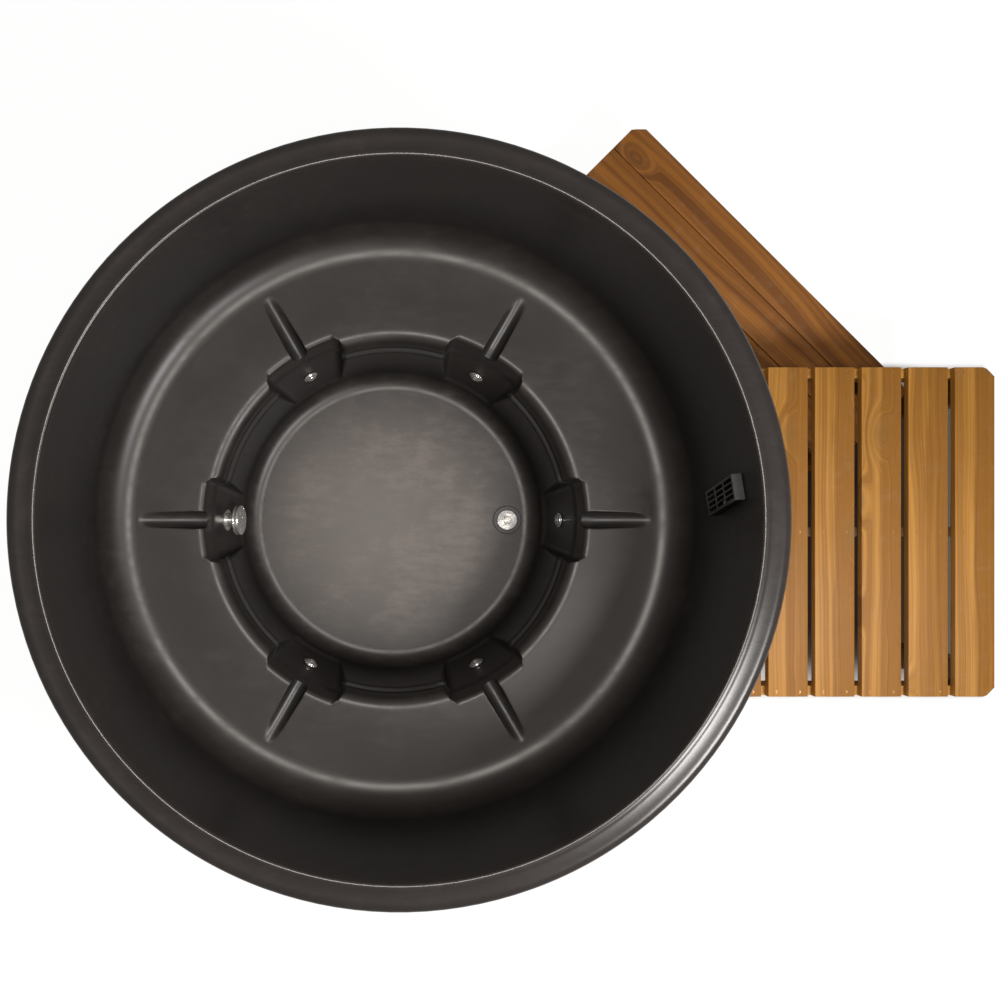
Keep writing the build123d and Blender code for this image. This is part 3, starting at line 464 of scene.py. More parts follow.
liner = {
    "rimR": 0.950, "rimZ": 1.0, "lipLevels": (0.930, 0.953), "rollR": 0.024,
    "rimTop": [(0.9215, 0.9997), (0.916, 0.9990), (0.908, 0.9984), (0.900, 0.9982), (0.8955, 0.9984),
               (0.8925, 0.9990), (0.8895, 0.9997), (0.8865, 1.0000), (0.88368, 1.0000)],
    "beadAt": 0.88368, "beadR": 0.009, "wallFoot": 0.855, "wallSlope": 0.020 / 0.550, "wallLean": 2.08,
    "wallLevels": (0.975, 0.94, 0.90, 0.85, 0.80, 0.74, 0.68, 0.62, 0.575),
    "coveAt": 0.76339, "coveR": 0.095, "seatZ": 0.45, "seatEdge": 0.016,
    "seatShares": (0.03, 0.06, 0.10, 0.15, 0.20, 0.28, 0.36, 0.45, 0.54, 0.63, 0.72, 0.80, 0.87, 0.93, 0.97),
    "noseAt": 0.56, "noseR": 0.040, "riserFoot": 0.487, "riserSlope": 0.021 / 0.330,
    "riserLevels": (0.35, 0.335, 0.32, 0.305, 0.29, 0.275, 0.26, 0.245, 0.23, 0.215, 0.20, 0.185, 0.17,
                    0.158, 0.148, 0.14, 0.133, 0.127, 0.122, 0.118, 0.112),
    "floorZ": 0.05, "floorCoveAt": 0.43539, "floorCoveR": 0.055,
    "floorRings": (0.4335, 0.430, 0.41, 0.38, 0.34, 0.30, 0.26, 0.22, 0.18, 0.14, 0.10, 0.06, 0.03, 0.012),
    "pockets": 6, "pocketBack": 0.563, "pocketHalf": 0.1235, "pocketFloor": 0.12, "pocketRound": 0.016,
    "pocketLean": math.radians(11.0), "pocketTaper": math.radians(6.7), "pocketEdge": 0.005,
    "sideEdge": 0.010, "fluteDepth": 0.0015, "fluteWidth": 0.010, "fluteEnd": 0.27,
    "grooveRadius": 0.024, "grooveDepth": 0.040, "grooveStart": 0.755, "grooveRun": 0.192,
    "grooveEdge": 0.0035, "grooveFar": 0.2, "plainColumns": 14, "thickness": 0.006, "backEvery": 6,
    "jetZ": 0.25, "jetHole": 0.018, "suctionPocket": 3, "suctionHole": 0.0225, "holeReach": 0.025,
    "drainAt": (0.384, 0, 0.047), "drainHole": 0.029,
    "portAngle": math.radians(4.3), "portR": 0.86791, "portZ": 0.805, "portDrop": 0.045, "portHole": 0.013,
}


def riserR(z):
    return liner["riserFoot"] + (z - liner["floorZ"]) * liner["riserSlope"]


def pocketBackAt(z):
    return liner["pocketBack"] - (liner["seatZ"] - z) * math.tan(liner["pocketLean"])


def pocketHalfAt(z):
    return liner["pocketHalf"] - (liner["seatZ"] - min(z, liner["seatZ"])) * math.tan(liner["pocketTaper"])


def pocketR(z, y):
    size = liner["pocketRound"]
    back = pocketBackAt(z)
    side = pocketHalfAt(z) - abs(y)
    rise = z - liner["pocketFloor"]
    if side < 0 or rise < 0:
        return back - size - 6.0 * max(-side, -rise)
    away = math.hypot(max(0.0, size - side), max(0.0, size - rise))
    return back - size + math.sqrt(max(0.0, size * size - away * away))


def sideSink(r, z, y):
    back = pocketBackAt(z)
    edge = min(liner["sideEdge"], 0.8 * (back - liner["pocketRound"] - r), 0.8 * (z - liner["pocketFloor"]))
    away = y - pocketHalfAt(z)
    if edge <= 0 or away >= edge:
        return 0.0
    return edge - math.sqrt(edge * edge - (edge - max(away, 0.0)) ** 2)


def softMax(a, b, width):
    return 0.5 * (a + b + math.sqrt((a - b) ** 2 + width * width))


def grooveSink(r, y):
    depth = liner["grooveDepth"] * (liner["grooveStart"] - r) / liner["grooveRun"]
    if depth <= 0:
        return 0.0
    radius = liner["grooveRadius"]
    if abs(y) < radius:
        inside = depth - (radius - math.sqrt(radius * radius - y * y))
    else:
        inside = depth - radius - 8.0 * (abs(y) - radius)
    edge, far = min(liner["grooveEdge"], depth), liner["grooveFar"]
    eased = 0.5 * (inside + math.sqrt(inside * inside + edge * edge))
    return eased - 0.5 * (math.hypot(far, edge) - far)


# Columns run round the tub, each with its pocket, its distance from the pocket's middle as a share of the
# pocket's half width, and how far it is on the way to the next pocket

def linerColumns():
    half = [0, 4, 8, 12, 16, 19, 21, 22.5, 23.5, 24.2, 25, 26.5, 29, 33, 40, 50, 62, 75, 86]
    half += [93.5, 97.5, 102.5, 107.5, 112.5, 116.5, 119.5, 121.5, 122.8, 123.45]
    half += [123.55, 124.1, 125, 126.5, 128.5, 131.5, 136, 143, 153, 166.725]
    shares = [value / 1000 / liner["pocketHalf"] for value in half]
    zone = [-share for share in reversed(shares[1:])] + shares
    columns = []
    for pocket in range(liner["pockets"]):
        columns += [(pocket, share, 0.0) for share in zone]
        plain = liner["plainColumns"]
        columns += [(pocket, zone[-1], (step + 1) / (plain + 1)) for step in range(plain)]
    return columns


def columnAngle(column, r, z):
    pocket, share, between = column
    step = 2 * math.pi / liner["pockets"]
    r = max(r, liner["floorCoveAt"])
    angle = math.asin(share * pocketHalfAt(max(z, liner["floorZ"])) / r)
    if between:
        angle = angle + (step - 2 * angle) * between
    return pocket * step + angle


def rimAndWall():
    rimR, rimZ, roll, bead = liner["rimR"], liner["rimZ"], liner["rollR"], liner["beadR"]
    seatZ, cove, lean = liner["seatZ"], liner["coveR"], liner["wallLean"]
    outline = [(rimR, z) for z in liner["lipLevels"]] + [(rimR, rimZ - roll)]
    outline += arc(rimR - roll, rimZ - roll, roll, 0, 90, 10) + liner["rimTop"]
    outline += arc(liner["beadAt"], rimZ - bead, bead, 90, 180 + lean, 8)
    outline += [(liner["wallFoot"] + (z - seatZ) * liner["wallSlope"], z) for z in liner["wallLevels"]]
    turn = math.radians(-lean)
    outline.append((liner["coveAt"] + cove * math.cos(turn), seatZ + cove + cove * math.sin(turn)))
    return outline + arc(liner["coveAt"], seatZ + cove, cove, -lean, -90, 14)


# Nose of the seat, the ledge under it and the riser, as (radius, height, height inside a pocket)

def noseAndRiser():
    seatZ, noseAt, noseR = liner["seatZ"], liner["noseAt"], liner["noseR"]
    outline = [(noseAt, seatZ, seatZ)]
    outline += [(r, z, z) for r, z in arc(noseAt, seatZ - noseR, noseR, 90, 180, 12)]
    outline += [(0.52, 0.402, 0.402), (0.52, 0.394, 0.397), (0.52, 0.3875, 0.393), (0.52, 0.383, 0.390)]
    inside = (0.387, 0.384, 0.381)
    crease = arc(0.517, 0.383, 0.003, 0, -90, 3)
    outline += [(r, z, pocketZ) for (r, z), pocketZ in zip(crease, inside)]
    outline.append((0.515507, 0.380, 0.3795))
    inside = (0.378, 0.375, 0.3715, 0.368, 0.364, 0.360)
    ledge = arc(0.515507, 0.372, 0.008, 90, 176.36, 6)
    outline += [(r, z, pocketZ) for (r, z), pocketZ in zip(ledge, inside)]
    return outline + [(riserR(z), z, z) for z in liner["riserLevels"]]


def rampUp(value, start, run):
    return min(1.0, max(0.0, (value - start) / run))


def seatRings(columns, ends):
    rings = []
    for share in liner["seatShares"]:
        ring = []
        for column, (end, sink) in zip(columns, ends):
            r = liner["coveAt"] + (end - liner["coveAt"]) * share
            drop = grooveSink(r, column[1] * liner["pocketHalf"]) if column[2] == 0.0 else 0.0
            ring.append((r, columnAngle(column, r, liner["seatZ"]), liner["seatZ"] - drop))
        rings.append(ring)
    return rings


def insidePocket(share, pocketZ, seatHere, lowest=0.30):
    z = pocketZ
    if pocketZ > lowest:
        z = seatHere - (liner["seatZ"] - pocketZ) * (seatHere - lowest) / (liner["seatZ"] - lowest)
    y = share * pocketHalfAt(z)
    deep = pocketR(z, y)
    drop, edge = seatHere - z, liner["seatEdge"]
    if drop < edge:
        deep += rampUp(deep, liner["noseAt"], 0.003) * (edge - math.sqrt(edge * edge - (edge - drop) ** 2))
    flute = liner["fluteDepth"] * math.exp(-(y / liner["fluteWidth"]) ** 2)
    return deep + flute * rampUp(z, liner["fluteEnd"], 0.03), z


def riserRings(columns, ends):
    outline = noseAndRiser()
    rings = []
    for index, (outR, outZ, pocketZ) in enumerate(outline):
        before, after = outline[max(0, index - 1)], outline[min(len(outline) - 1, index + 1)]
        runR, runZ = after[0] - before[0], after[1] - before[1]
        run = math.hypot(runR, runZ)
        ring = []
        for column, (end, sink) in zip(columns, ends):
            share = column[1]
            r, z = outR, outZ
            if column[2] == 0.0:
                deep = pocketR(outZ, share * pocketHalfAt(outZ))
                if abs(share) < 1.0:
                    deep, z = insidePocket(share, pocketZ, liner["seatZ"] - sink)
                if deep > outR - 0.05:
                    r = softMax(outR, deep, liner["pocketEdge"])
                if abs(share) > 1.0:
                    eased = sideSink(outR, outZ, abs(share * pocketHalfAt(outZ)))
                    r, z = outR - eased * runZ / run, outZ + eased * runR / run
            ring.append((r, columnAngle(column, r, z), z))
        rings.append(ring)
    return rings


def linerRings():
    columns = linerColumns()
    noseAt, floorZ, cove = liner["noseAt"], liner["floorZ"], liner["floorCoveR"]
    ends = []
    for column in columns:
        y = column[1] * liner["pocketHalf"]
        inPocket = column[2] == 0.0
        first = pocketR(liner["seatZ"], y) if inPocket else 0.0
        end = softMax(noseAt, first, liner["pocketEdge"]) if first > 0.50 else noseAt
        end += liner["seatEdge"] * rampUp(first, noseAt, 0.003)
        ends.append((end, grooveSink(end, y) if inPocket else 0.0))
    rings = [[(r, columnAngle(column, r, z), z) for column in columns] for r, z in rimAndWall()]
    rings += seatRings(columns, ends) + riserRings(columns, ends)
    low = arc(liner["floorCoveAt"], floorZ + cove, cove, -3.64, -90, 14)
    low += [(r, floorZ) for r in liner["floorRings"]]
    return rings + [[(r, columnAngle(column, r, z), z) for column in columns] for r, z in low]


def makeLinerMesh():
    rings = [[Vector((r * math.cos(a), r * math.sin(a), z)) for r, a, z in ring] for ring in linerRings()]
    count = len(rings[0])
    picked = sorted(set(list(range(0, len(rings), liner["backEvery"])) + [0, len(rings) - 1]))
    backs = []
    for index in picked:
        before, after = rings[max(0, index - 1)], rings[min(len(rings) - 1, index + 1)]
        back = []
        for column in range(count):
            along = after[column] - before[column]
            around = rings[index][(column + 2) % count] - rings[index][column - 2]
            normal = around.cross(along).normalized()
            back.append(rings[index][column] - normal * liner["thickness"])
        backs.append(back)
    floorZ = liner["floorZ"]
    middle = [[Vector((0, 0, floorZ))], [Vector((0, 0, floorZ - liner["thickness"]))]]
    loops = rings + middle + list(reversed(backs))
    points = [point for loop in loops for point in loop]
    starts, total = [], 0
    for loop in loops:
        starts.append(total)
        total += len(loop)
    faces = []
    for index, loop in enumerate(loops):
        following = (index + 1) % len(loops)
        a, b = starts[index], starts[following]
        big, small = len(loop), len(loops[following])
        for column in range(count):
            side = (column + 1) % count
            if big == count and small == count:
                faces.append((a + column, a + side, b + side, b + column))
            elif big == count:
                faces.append((a + column, a + side, b))
            elif small == count:
                faces.append((a, b + side, b + column))
    mesh = meshFrom("liner", points, faces)
    faceOutward(mesh)
    return mesh


def cylinderPoints(centre, axis, radius, back, front, sides=64):
    turn = axis.to_track_quat("Z", "Y").to_matrix()
    points = []
    for level in (back, front):
        for side in range(sides):
            angle = 2 * math.pi * side / sides
            spot = Vector((radius * math.cos(angle), radius * math.sin(angle), level))
            points.append(centre + turn @ spot)
    return points, ringFaces(2, sides)


def cutHoles(piece, points, faces):
    cutter = linkObject("holeCutter", meshFrom("holeCutter", points, faces))
    cut = piece.modifiers.new("holes", "BOOLEAN")
    cut.operation = "DIFFERENCE"
    cut.solver = "MANIFOLD"
    cut.object = cutter
    whole = piece.data
    mesh = evaluatedMesh(piece, whole.name)
    piece.modifiers.clear()
    if len(mesh.polygons) < 0.9 * len(whole.polygons):
        print("holes could not be cut:", piece.name, len(mesh.polygons))
        mesh = whole
    piece.data = mesh
    bpy.data.objects.remove(cutter)
    return mesh


def joined(holes, back, front, sides=64):
    points, faces = [], []
    for centre, axis, radius in holes:
        more, loops = cylinderPoints(centre, axis, radius, back, front, sides)
        faces += [tuple(index + len(points) for index in loop) for loop in loops]
        points += more
    return points, faces


def makeLiner():
    piece = linkObject("tubLiner", makeLinerMesh())
    holes = []
    lean, jetZ = liner["pocketLean"], liner["jetZ"]
    for pocket in range(liner["pockets"]):
        turn = Matrix.Rotation(2 * math.pi * pocket / liner["pockets"], 3, "Z")
        radius = liner["suctionHole"] if pocket == liner["suctionPocket"] else liner["jetHole"]
        axis = turn @ Vector((-math.cos(lean), 0, math.sin(lean)))
        holes.append((turn @ Vector((pocketBackAt(jetZ), 0, jetZ)), axis, radius))
    holes.append((Vector(liner["drainAt"]), Vector((0, 0, 1)), liner["drainHole"]))
    slide = [joint for joint in frame["joints"] if joint["name"] == "grille_lift"][0]["axis"]
    outward = Vector((math.cos(liner["portAngle"]), math.sin(liner["portAngle"]), 0))
    port = liner["portR"] * outward + Vector((0, 0, liner["portZ"])) - liner["portDrop"] * Vector(slide)
    holes.append((port, outward, liner["portHole"]))
    mesh = cutHoles(piece, *joined(holes, -liner["holeReach"], liner["holeReach"]))
    smoothByAngle(mesh, math.radians(50))
    finishPiece(piece, "tub", "liner_plastic", ["liner"])
    print("liner:", len(mesh.polygons), "faces")


makeLiner()


# Turned chrome pieces on the pocket walls; profiles are in millimetres as (radius, height over the wall)

turned = {
    "sides": 96, "jetAngles": (0, 60, 120, 240, 300), "grips": 6, "gripDepth": 0.045, "gripFrom": 0.019,
    "face": [(22.8, 2.8), (22.8, 4.5), (22.5, 5.3), (21.9, 5.8), (21.1, 5.9), (20.5, 5.6), (20.2, 4.7),
             (19.5, 4.6), (19.2, 5.6), (19.0, 6.8), (18.5, 7.9), (17.6, 8.8), (16.2, 9.8), (14.6, 10.8),
             (13.4, 11.7), (12.6, 12.0), (11.8, 11.9), (11.2, 11.5), (10.8, 10.7), (11.3, 9.0), (11.8, 7.2),
             (12.0, 5.0), (11.6, 1.9), (10.4, -1.0), (9.0, -2.9), (9.0, -22.0), (14.92, -22.0),
             (14.92, 2.8)],
    "smoothAngle": math.radians(38), "ballR": 11.7, "ballAt": 5.0, "outletR": 4.5, "ballSteps": 14,
    "capHoles": (9.0, 19.0, 29.0, 37.0), "capPitch": 10.5, "capHoleR": 0.003, "capHoleAt": 0.049,
    "capHoleReach": 0.006,
    "cap": [(22.6, 31.0), (44.6, 31.0), (45.8, 31.4), (46.5, 32.4), (46.5, 35.4), (45.9, 36.2), (45.2, 36.6),
            (45.2, 38.4), (45.9, 38.8), (46.5, 39.6), (46.5, 45.8), (46.1, 47.3), (45.0, 48.4), (43.6, 48.8),
            (42.6, 48.5), (42.2, 47.4), (41.4, 47.4), (41.0, 48.6), (40.0, 49.2), (34.0, 50.0), (26.0, 50.6),
            (16.0, 50.9), (6.0, 51.0), (0.0, 51.0), (0.0, 48.0), (16.0, 47.9), (32.0, 47.2), (43.5, 45.0),
            (43.5, 34.0), (22.6, 34.0)],
}


def ballProfile():
    radius, centre, outlet, steps = turned["ballR"], turned["ballAt"], turned["outletR"], turned["ballSteps"]
    reach = math.degrees(math.asin(outlet / radius))
    profile = []
    for step in range(steps + 1):
        angle = math.radians(reach + 2 + (176 - 2 * reach) * step / steps)
        profile.append((radius * math.sin(angle), centre + radius * math.cos(angle)))
    end = math.sqrt(radius * radius - outlet * outlet)
    return profile + [(outlet, centre - end + 0.2), (outlet, centre), (outlet, centre + end - 0.2)]


def wallPlace(angle):
    lean = liner["pocketLean"]
    turn = Matrix.Rotation(math.radians(angle), 4, "Z")
    axis = Vector((-math.cos(lean), 0, math.sin(lean)))
    side = Vector((0, 1, 0))
    frameOf = Matrix((side, axis.cross(side), axis)).transposed().to_4x4()
    return turn @ Matrix.Translation((pocketBackAt(liner["jetZ"]), 0, liner["jetZ"])) @ frameOf


def latheMesh(name, profile, place, grips=0):
    sides = turned["sides"]
    points, rings, faces = [], [], []
    for radius, height in profile:
        radius, height = radius / 1000, height / 1000
        if radius == 0:
            rings.append([len(points)])
            points.append(place @ Vector((0, 0, height)))
            continue
        rings.append(list(range(len(points), len(points) + sides)))
        for side in range(sides):
            angle = 2 * math.pi * side / sides
            wide = radius
            if grips and radius > turned["gripFrom"]:
                wide *= 1 - turned["gripDepth"] * max(0.0, math.cos(angle * grips)) ** 12
            points.append(place @ Vector((wide * math.cos(angle), wide * math.sin(angle), height)))
    for index, ring in enumerate(rings):
        after = rings[(index + 1) % len(rings)]
        for side in range(sides):
            other = (side + 1) % sides
            if len(ring) > 1 and len(after) > 1:
                faces.append((ring[side], ring[other], after[other], after[side]))
            elif len(ring) > 1:
                faces.append((ring[side], ring[other], after[0]))
            elif len(after) > 1:
                faces.append((ring[0], after[other], after[side]))
    mesh = meshFrom(name, points, faces)
    faceOutward(mesh)
    return mesh


def makeTurned():
    for index, angle in enumerate(turned["jetAngles"]):
        place = wallPlace(angle)
        shapes = (("face", turned["face"], turned["grips"]), ("nozzle", ballProfile(), 0))
        for label, profile, grips in shapes:
            node = f"jet_{label}_{index + 1}"
            piece = linkObject(f"jet{label.capitalize()}{index + 1}", latheMesh(node, profile, place, grips))
            smoothByAngle(piece.data, turned["smoothAngle"])
            finishPiece(piece, bodyOf[node], "chrome", [node])
    place = wallPlace(180)
    piece = linkObject("strainerCap", latheMesh("strainerCap", turned["cap"], place))
    outward = place.to_3x3() @ Vector((0, 0, 1))
    holes = []
    for row in turned["capHoles"]:
        count = int(2 * math.pi * row / turned["capPitch"])
        for k in range(count):
            angle = 2 * math.pi * k / count
            spot = Vector((row / 1000 * math.cos(angle), row / 1000 * math.sin(angle), turned["capHoleAt"]))
            holes.append((place @ spot, outward, turned["capHoleR"]))
    reach = turned["capHoleReach"]
    mesh = cutHoles(piece, *joined(holes, -reach, reach, 16))
    smoothByAngle(mesh, turned["smoothAngle"])
    finishPiece(piece, "tub", "chrome", ["suction_cap"])
    print("turned pieces made")


makeTurned()


# Geometry Nodes for what repeats

def newGeometryTree(name, sockets):
    shape = [("Geometry", "Geometry")]
    return newGroup(name, shape + sockets, shape, "GeometryNodeTree")


def realized(tree, made, instances, seed, material):
    tone = addNode(tree, "FunctionNodeRandomValue", {"Seed": seed}, data_type="FLOAT").outputs["Value"]
    stored = {"Geometry": instances, "Name": "boardTone", "Value": tone}
    named = addNode(tree, "GeometryNodeStoreNamedAttribute", stored, data_type="FLOAT", domain="INSTANCE")
    solid = addNode(tree, "GeometryNodeRealizeInstances", {"Geometry": named.outputs[0]})
    painted = addNode(tree, "GeometryNodeSetMaterial", {"Geometry": solid.outputs[0], "Material": material})
    tree.links.new(painted.outputs[0], made.inputs["Geometry"])


def shapeOf(tree, source):
    return addNode(tree, "GeometryNodeObjectInfo", {"Object": source}).outputs["Geometry"]


def placedOn(tree, points, shape, spin=(0.0, 0.0, 0.0)):
    inputs = {"Points": points, "Instance": shape, "Rotation": spin}
    return addNode(tree, "GeometryNodeInstanceOnPoints", inputs).outputs[0]


def spinZ(tree, angle):
    return addNode(tree, "ShaderNodeCombineXYZ", {2: angle}).outputs[0]


def makeBoardRowTree():
    tree, given, made = newGeometryTree("boardRow", [
        ("Board", "Object"), ("EndBoard", "Object"), ("Count", "Int"), ("Pitch", "Float"),
        ("Start", "Vector"), ("Turn", "Float"), ("Seed", "Int"), ("Material", "Material")])
    use = given.outputs
    step = addNode(tree, "ShaderNodeCombineXYZ", {0: use["Pitch"]}).outputs[0]
    fewer = mathNode(tree, "SUBTRACT", use["Count"], 1.0)
    spaced = {"Count": fewer, "Start Location": use["Start"], "Offset": step}
    line = addNode(tree, "GeometryNodeMeshLine", spaced)
    plain = placedOn(tree, line.outputs[0], shapeOf(tree, use["Board"]))
    reach = addNode(tree, "ShaderNodeVectorMath", {0: step, "Scale": fewer}, operation="SCALE").outputs[0]
    last = addNode(tree, "ShaderNodeVectorMath", {0: use["Start"], 1: reach}).outputs[0]
    point = addNode(tree, "GeometryNodeMeshLine", {"Count": 1, "Start Location": last})
    ending = placedOn(tree, point.outputs[0], shapeOf(tree, use["EndBoard"]))
    both = addNode(tree, "GeometryNodeJoinGeometry")
    tree.links.new(ending, both.inputs[0])
    tree.links.new(plain, both.inputs[0])
    swung = {"Geometry": both.outputs[0], "Rotation": spinZ(tree, use["Turn"])}
    row = addNode(tree, "GeometryNodeTransform", swung).outputs[0]
    realized(tree, made, row, use["Seed"], use["Material"])
    return tree


def makeRingTree():
    tree, given, made = newGeometryTree("staveRing", [
        ("Stave", "Object"), ("Count", "Int"), ("Seed", "Int"), ("Material", "Material")])
    use = given.outputs
    line = addNode(tree, "GeometryNodeMeshLine", {"Count": use["Count"], "Offset": (0, 0, 0)})
    index = addNode(tree, "GeometryNodeInputIndex").outputs[0]
    share = mathNode(tree, "DIVIDE", mathNode(tree, "ADD", index, 0.5), use["Count"])
    spin = spinZ(tree, times(tree, share, 2 * math.pi))
    ring = placedOn(tree, line.outputs[0], shapeOf(tree, use["Stave"]), spin)
    realized(tree, made, ring, use["Seed"], use["Material"])
    return tree


def makeScrewTree():
    tree, given, made = newGeometryTree("screwField", [
        ("Screw", "Object"), ("Seed", "Int"), ("Material", "Material")])
    use = given.outputs
    anyTurn = {3: 6.28, "Seed": use["Seed"]}
    turn = addNode(tree, "FunctionNodeRandomValue", anyTurn, data_type="FLOAT").outputs["Value"]
    field = placedOn(tree, use["Geometry"], shapeOf(tree, use["Screw"]), spinZ(tree, turn))
    realized(tree, made, field, use["Seed"], use["Material"])
    return tree


boardRow = makeBoardRowTree()
staveRing = makeRingTree()
screwField = makeScrewTree()


def repeatedPiece(name, base, tree, values, slot, nodes, sharp):
    values["Material"] = materials[slot]
    maker = linkObject(name, base)
    modifier = maker.modifiers.new("repeat", "NODES")
    modifier.node_group = tree
    for item in tree.interface.items_tree:
        if item.item_type == "SOCKET" and item.in_out == "INPUT" and item.name in values:
            modifier[item.identifier] = values[item.name]
    mesh = evaluatedMesh(maker, name)
    maker.modifiers.clear()
    maker.data = mesh
    smoothByAngle(mesh, math.radians(sharp))
    finishPiece(maker, "tub", slot, nodes)
    print(name + ":", len(mesh.polygons), "faces")


# Boards: a crowned plank with eased edges, and optional cut corners at one side

def boardMesh(name, length, width, thick, crown, lowCut, highCut, ease=0.003):
    top = []
    for share in (0.0, 0.25, 0.55, 1.0):
        angle = math.radians(90 * share)
        top.append((ease - ease * math.cos(angle), -ease + ease * math.sin(angle)))
    half = width / 2
    section = [(0.0008, 0.0), (0.0, 0.001)] + [(x, thick - crown + crown * x / half + z) for x, z in top]
    for share in (0.2, 0.4, 0.6, 0.8, 0.93):
        section.append((half * share, thick - crown + crown * share))
    section.append((half, thick - 0.0001))
    section += [(width - x, z) for x, z in reversed(section[:-1])]
    insets = [(0.0, 0.0022), (0.0007, 0.0007), (0.0022, 0.0)]
    rows = [(1, inset, drop) for inset, drop in insets]
    rows += [(-1, inset, drop) for inset, drop in reversed(insets)]
    points, uvs = [], []
    for side, inset, drop in rows:
        cut = lowCut if side > 0 else highCut
        for x, z in section:
            pull = max(0.0, x - (width - cut)) if cut else 0.0
            topZ = thick - crown * abs(1 - x / half)
            y = -side * (length / 2 - pull - inset)
            points.append((x, y, min(z, topZ - drop)))
            uvs.append((x / width, y))
    return boardShaped(name, points, ringFaces(len(rows), len(section)), uvs)


platform = {"inner": 0.948, "yLow": -0.513, "yHigh": 0.4435, "top": 0.50, "thick": 0.028, "width": 0.115,
            "gap": 0.0206, "count": 6, "crown": 0.002, "cuts": (0.027, 0.027), "turn": 0.0, "seed": 11}
lowStep = {"inner": 1.087, "yLow": -0.860, "yHigh": 0.339, "top": 0.25, "thick": 0.028, "width": 0.114,
           "gap": 0.003, "count": 3, "crown": 0.0006, "cuts": (0, 0.032), "turn": math.radians(45),
           "seed": 23}


def makeBoards():
    for name, row in (("platform", platform), ("step", lowStep)):
        length, middle = row["yHigh"] - row["yLow"], (row["yHigh"] + row["yLow"]) / 2
        sizes = (length, row["width"], row["thick"], row["crown"])
        plain = linkObject(name + "Plain", boardMesh(name + "Plain", *sizes, 0, 0))
        ending = linkObject(name + "End", boardMesh(name + "End", *sizes, *row["cuts"]))
        repeatedPiece(name + "Boards", bpy.data.meshes.new(name + "Boards"), boardRow, {
            "Board": plain, "EndBoard": ending, "Count": row["count"], "Pitch": row["width"] + row["gap"],
            "Start": (row["inner"], middle, row["top"] - row["thick"]), "Turn": row["turn"],
            "Seed": row["seed"]}, name + "_wood", [name + "_boards"], 28)
        bpy.data.objects.remove(plain)
        bpy.data.objects.remove(ending)


makeBoards()


# Screws: brown coated heads, flush with the boards

screw = {"headR": 0.0045, "headH": 0.003, "shankR": 0.0025, "length": 0.052, "tip": 0.006, "recessR": 0.0017,
         "recess": 0.0014, "inset": 0.025, "endInset": 0.014, "proud": 0.00008, "sides": 12, "seed": 5}


def screwMesh():
    head, shank = screw["headR"], screw["shankR"]
    profile = [(screw["recessR"] * 0.8, -screw["recess"]), (screw["recessR"], -0.0001), (head - 0.0004, 0.0),
               (head, -0.0003), (shank, -screw["headH"]), (shank, screw["tip"] - screw["length"])]
    sides = screw["sides"]
    points = [(r * math.cos(2 * math.pi * k / sides), r * math.sin(2 * math.pi * k / sides), z)
              for r, z in profile for k in range(sides)]
    faces = []
    for row in range(len(profile) - 1):
        a, b = row * sides, (row + 1) * sides
        for k in range(sides):
            other = (k + 1) % sides
            faces.append((a + k, b + k, b + other, a + other))
    faces.append(tuple(range(sides)))
    points.append((0, 0, -screw["length"]))
    last = (len(profile) - 1) * sides
    for k in range(sides):
        faces.append((last + k, len(points) - 1, last + (k + 1) % sides))
    return meshFrom("woodScrew", points, faces)


def screwPlaces(board):
    places = []
    low, high = board["yLow"] + screw["endInset"], board["yHigh"] - screw["endInset"]
    crossLines = (low, (board["yLow"] + board["yHigh"]) / 2, high)
    crown = board["crown"] * 2 * screw["inset"] / board["width"]
    z = board["top"] - board["crown"] + crown + screw["proud"]
    for k in range(board["count"]):
        for y in crossLines:
            for inset in (screw["inset"], board["width"] - screw["inset"]):
                place = Vector((board["inner"] + k * (board["width"] + board["gap"]) + inset, y, z))
                places.append(Matrix.Rotation(board["turn"], 3, "Z") @ place)
    return places


def makeScrews():
    source = linkObject("woodScrew", screwMesh())
    for name, board in (("platform", platform), ("step", lowStep)):
        repeatedPiece(name + "Screws", meshFrom(name + "Screws", screwPlaces(board), []), screwField, {
            "Screw": source, "Seed": screw["seed"]}, "screw_steel", [name + "_screws"], 40)
    bpy.data.objects.remove(source)


makeScrews()


# Barrel: forty-eight bevelled staves

stave = {"outer": 0.932, "thick": 0.021, "count": 48, "gap": 0.0008, "bevel": 0.003, "brow": 0.007,
         "low": 0.044, "high": 0.994, "seed": 31}


def staveMesh():
    half = math.pi / stave["count"]
    side = stave["gap"] / 2
    inner, outer = stave["outer"] - stave["thick"], stave["outer"]

    def edge(r):
        return math.asin(math.sin(half) - side / r)

    section = []
    for share in (-1.0, -0.5, 0.0, 0.5, 1.0):
        section.append((inner, edge(inner) * share))
    reach = edge(outer) - stave["bevel"] / outer
    section.append((outer - stave["bevel"], edge(outer - stave["bevel"])))
    for share in (1.0, 0.94, 0.5, 0.0, -0.5, -0.94, -1.0):
        section.append((outer - (0.0006 if abs(share) == 1.0 else 0.0), reach * share))
    section.append((outer - stave["bevel"], -edge(outer - stave["bevel"])))
    rows = [(stave["low"], 0.0015), (stave["low"] + 0.0015, 0.0), (stave["high"] - stave["brow"], 0.0),
            (stave["high"] - 0.4 * stave["brow"], 0.4 * stave["brow"]), (stave["high"], stave["brow"])]
    points, uvs = [], []
    for z, drop in rows:
        for r, angle in section:
            r = min(r, outer - drop)
            points.append((r * math.cos(angle), r * math.sin(angle), z))
            uvs.append((angle / half / 2 + 0.5, z))
    return boardShaped("stave", points, ringFaces(len(rows), len(section)), uvs)


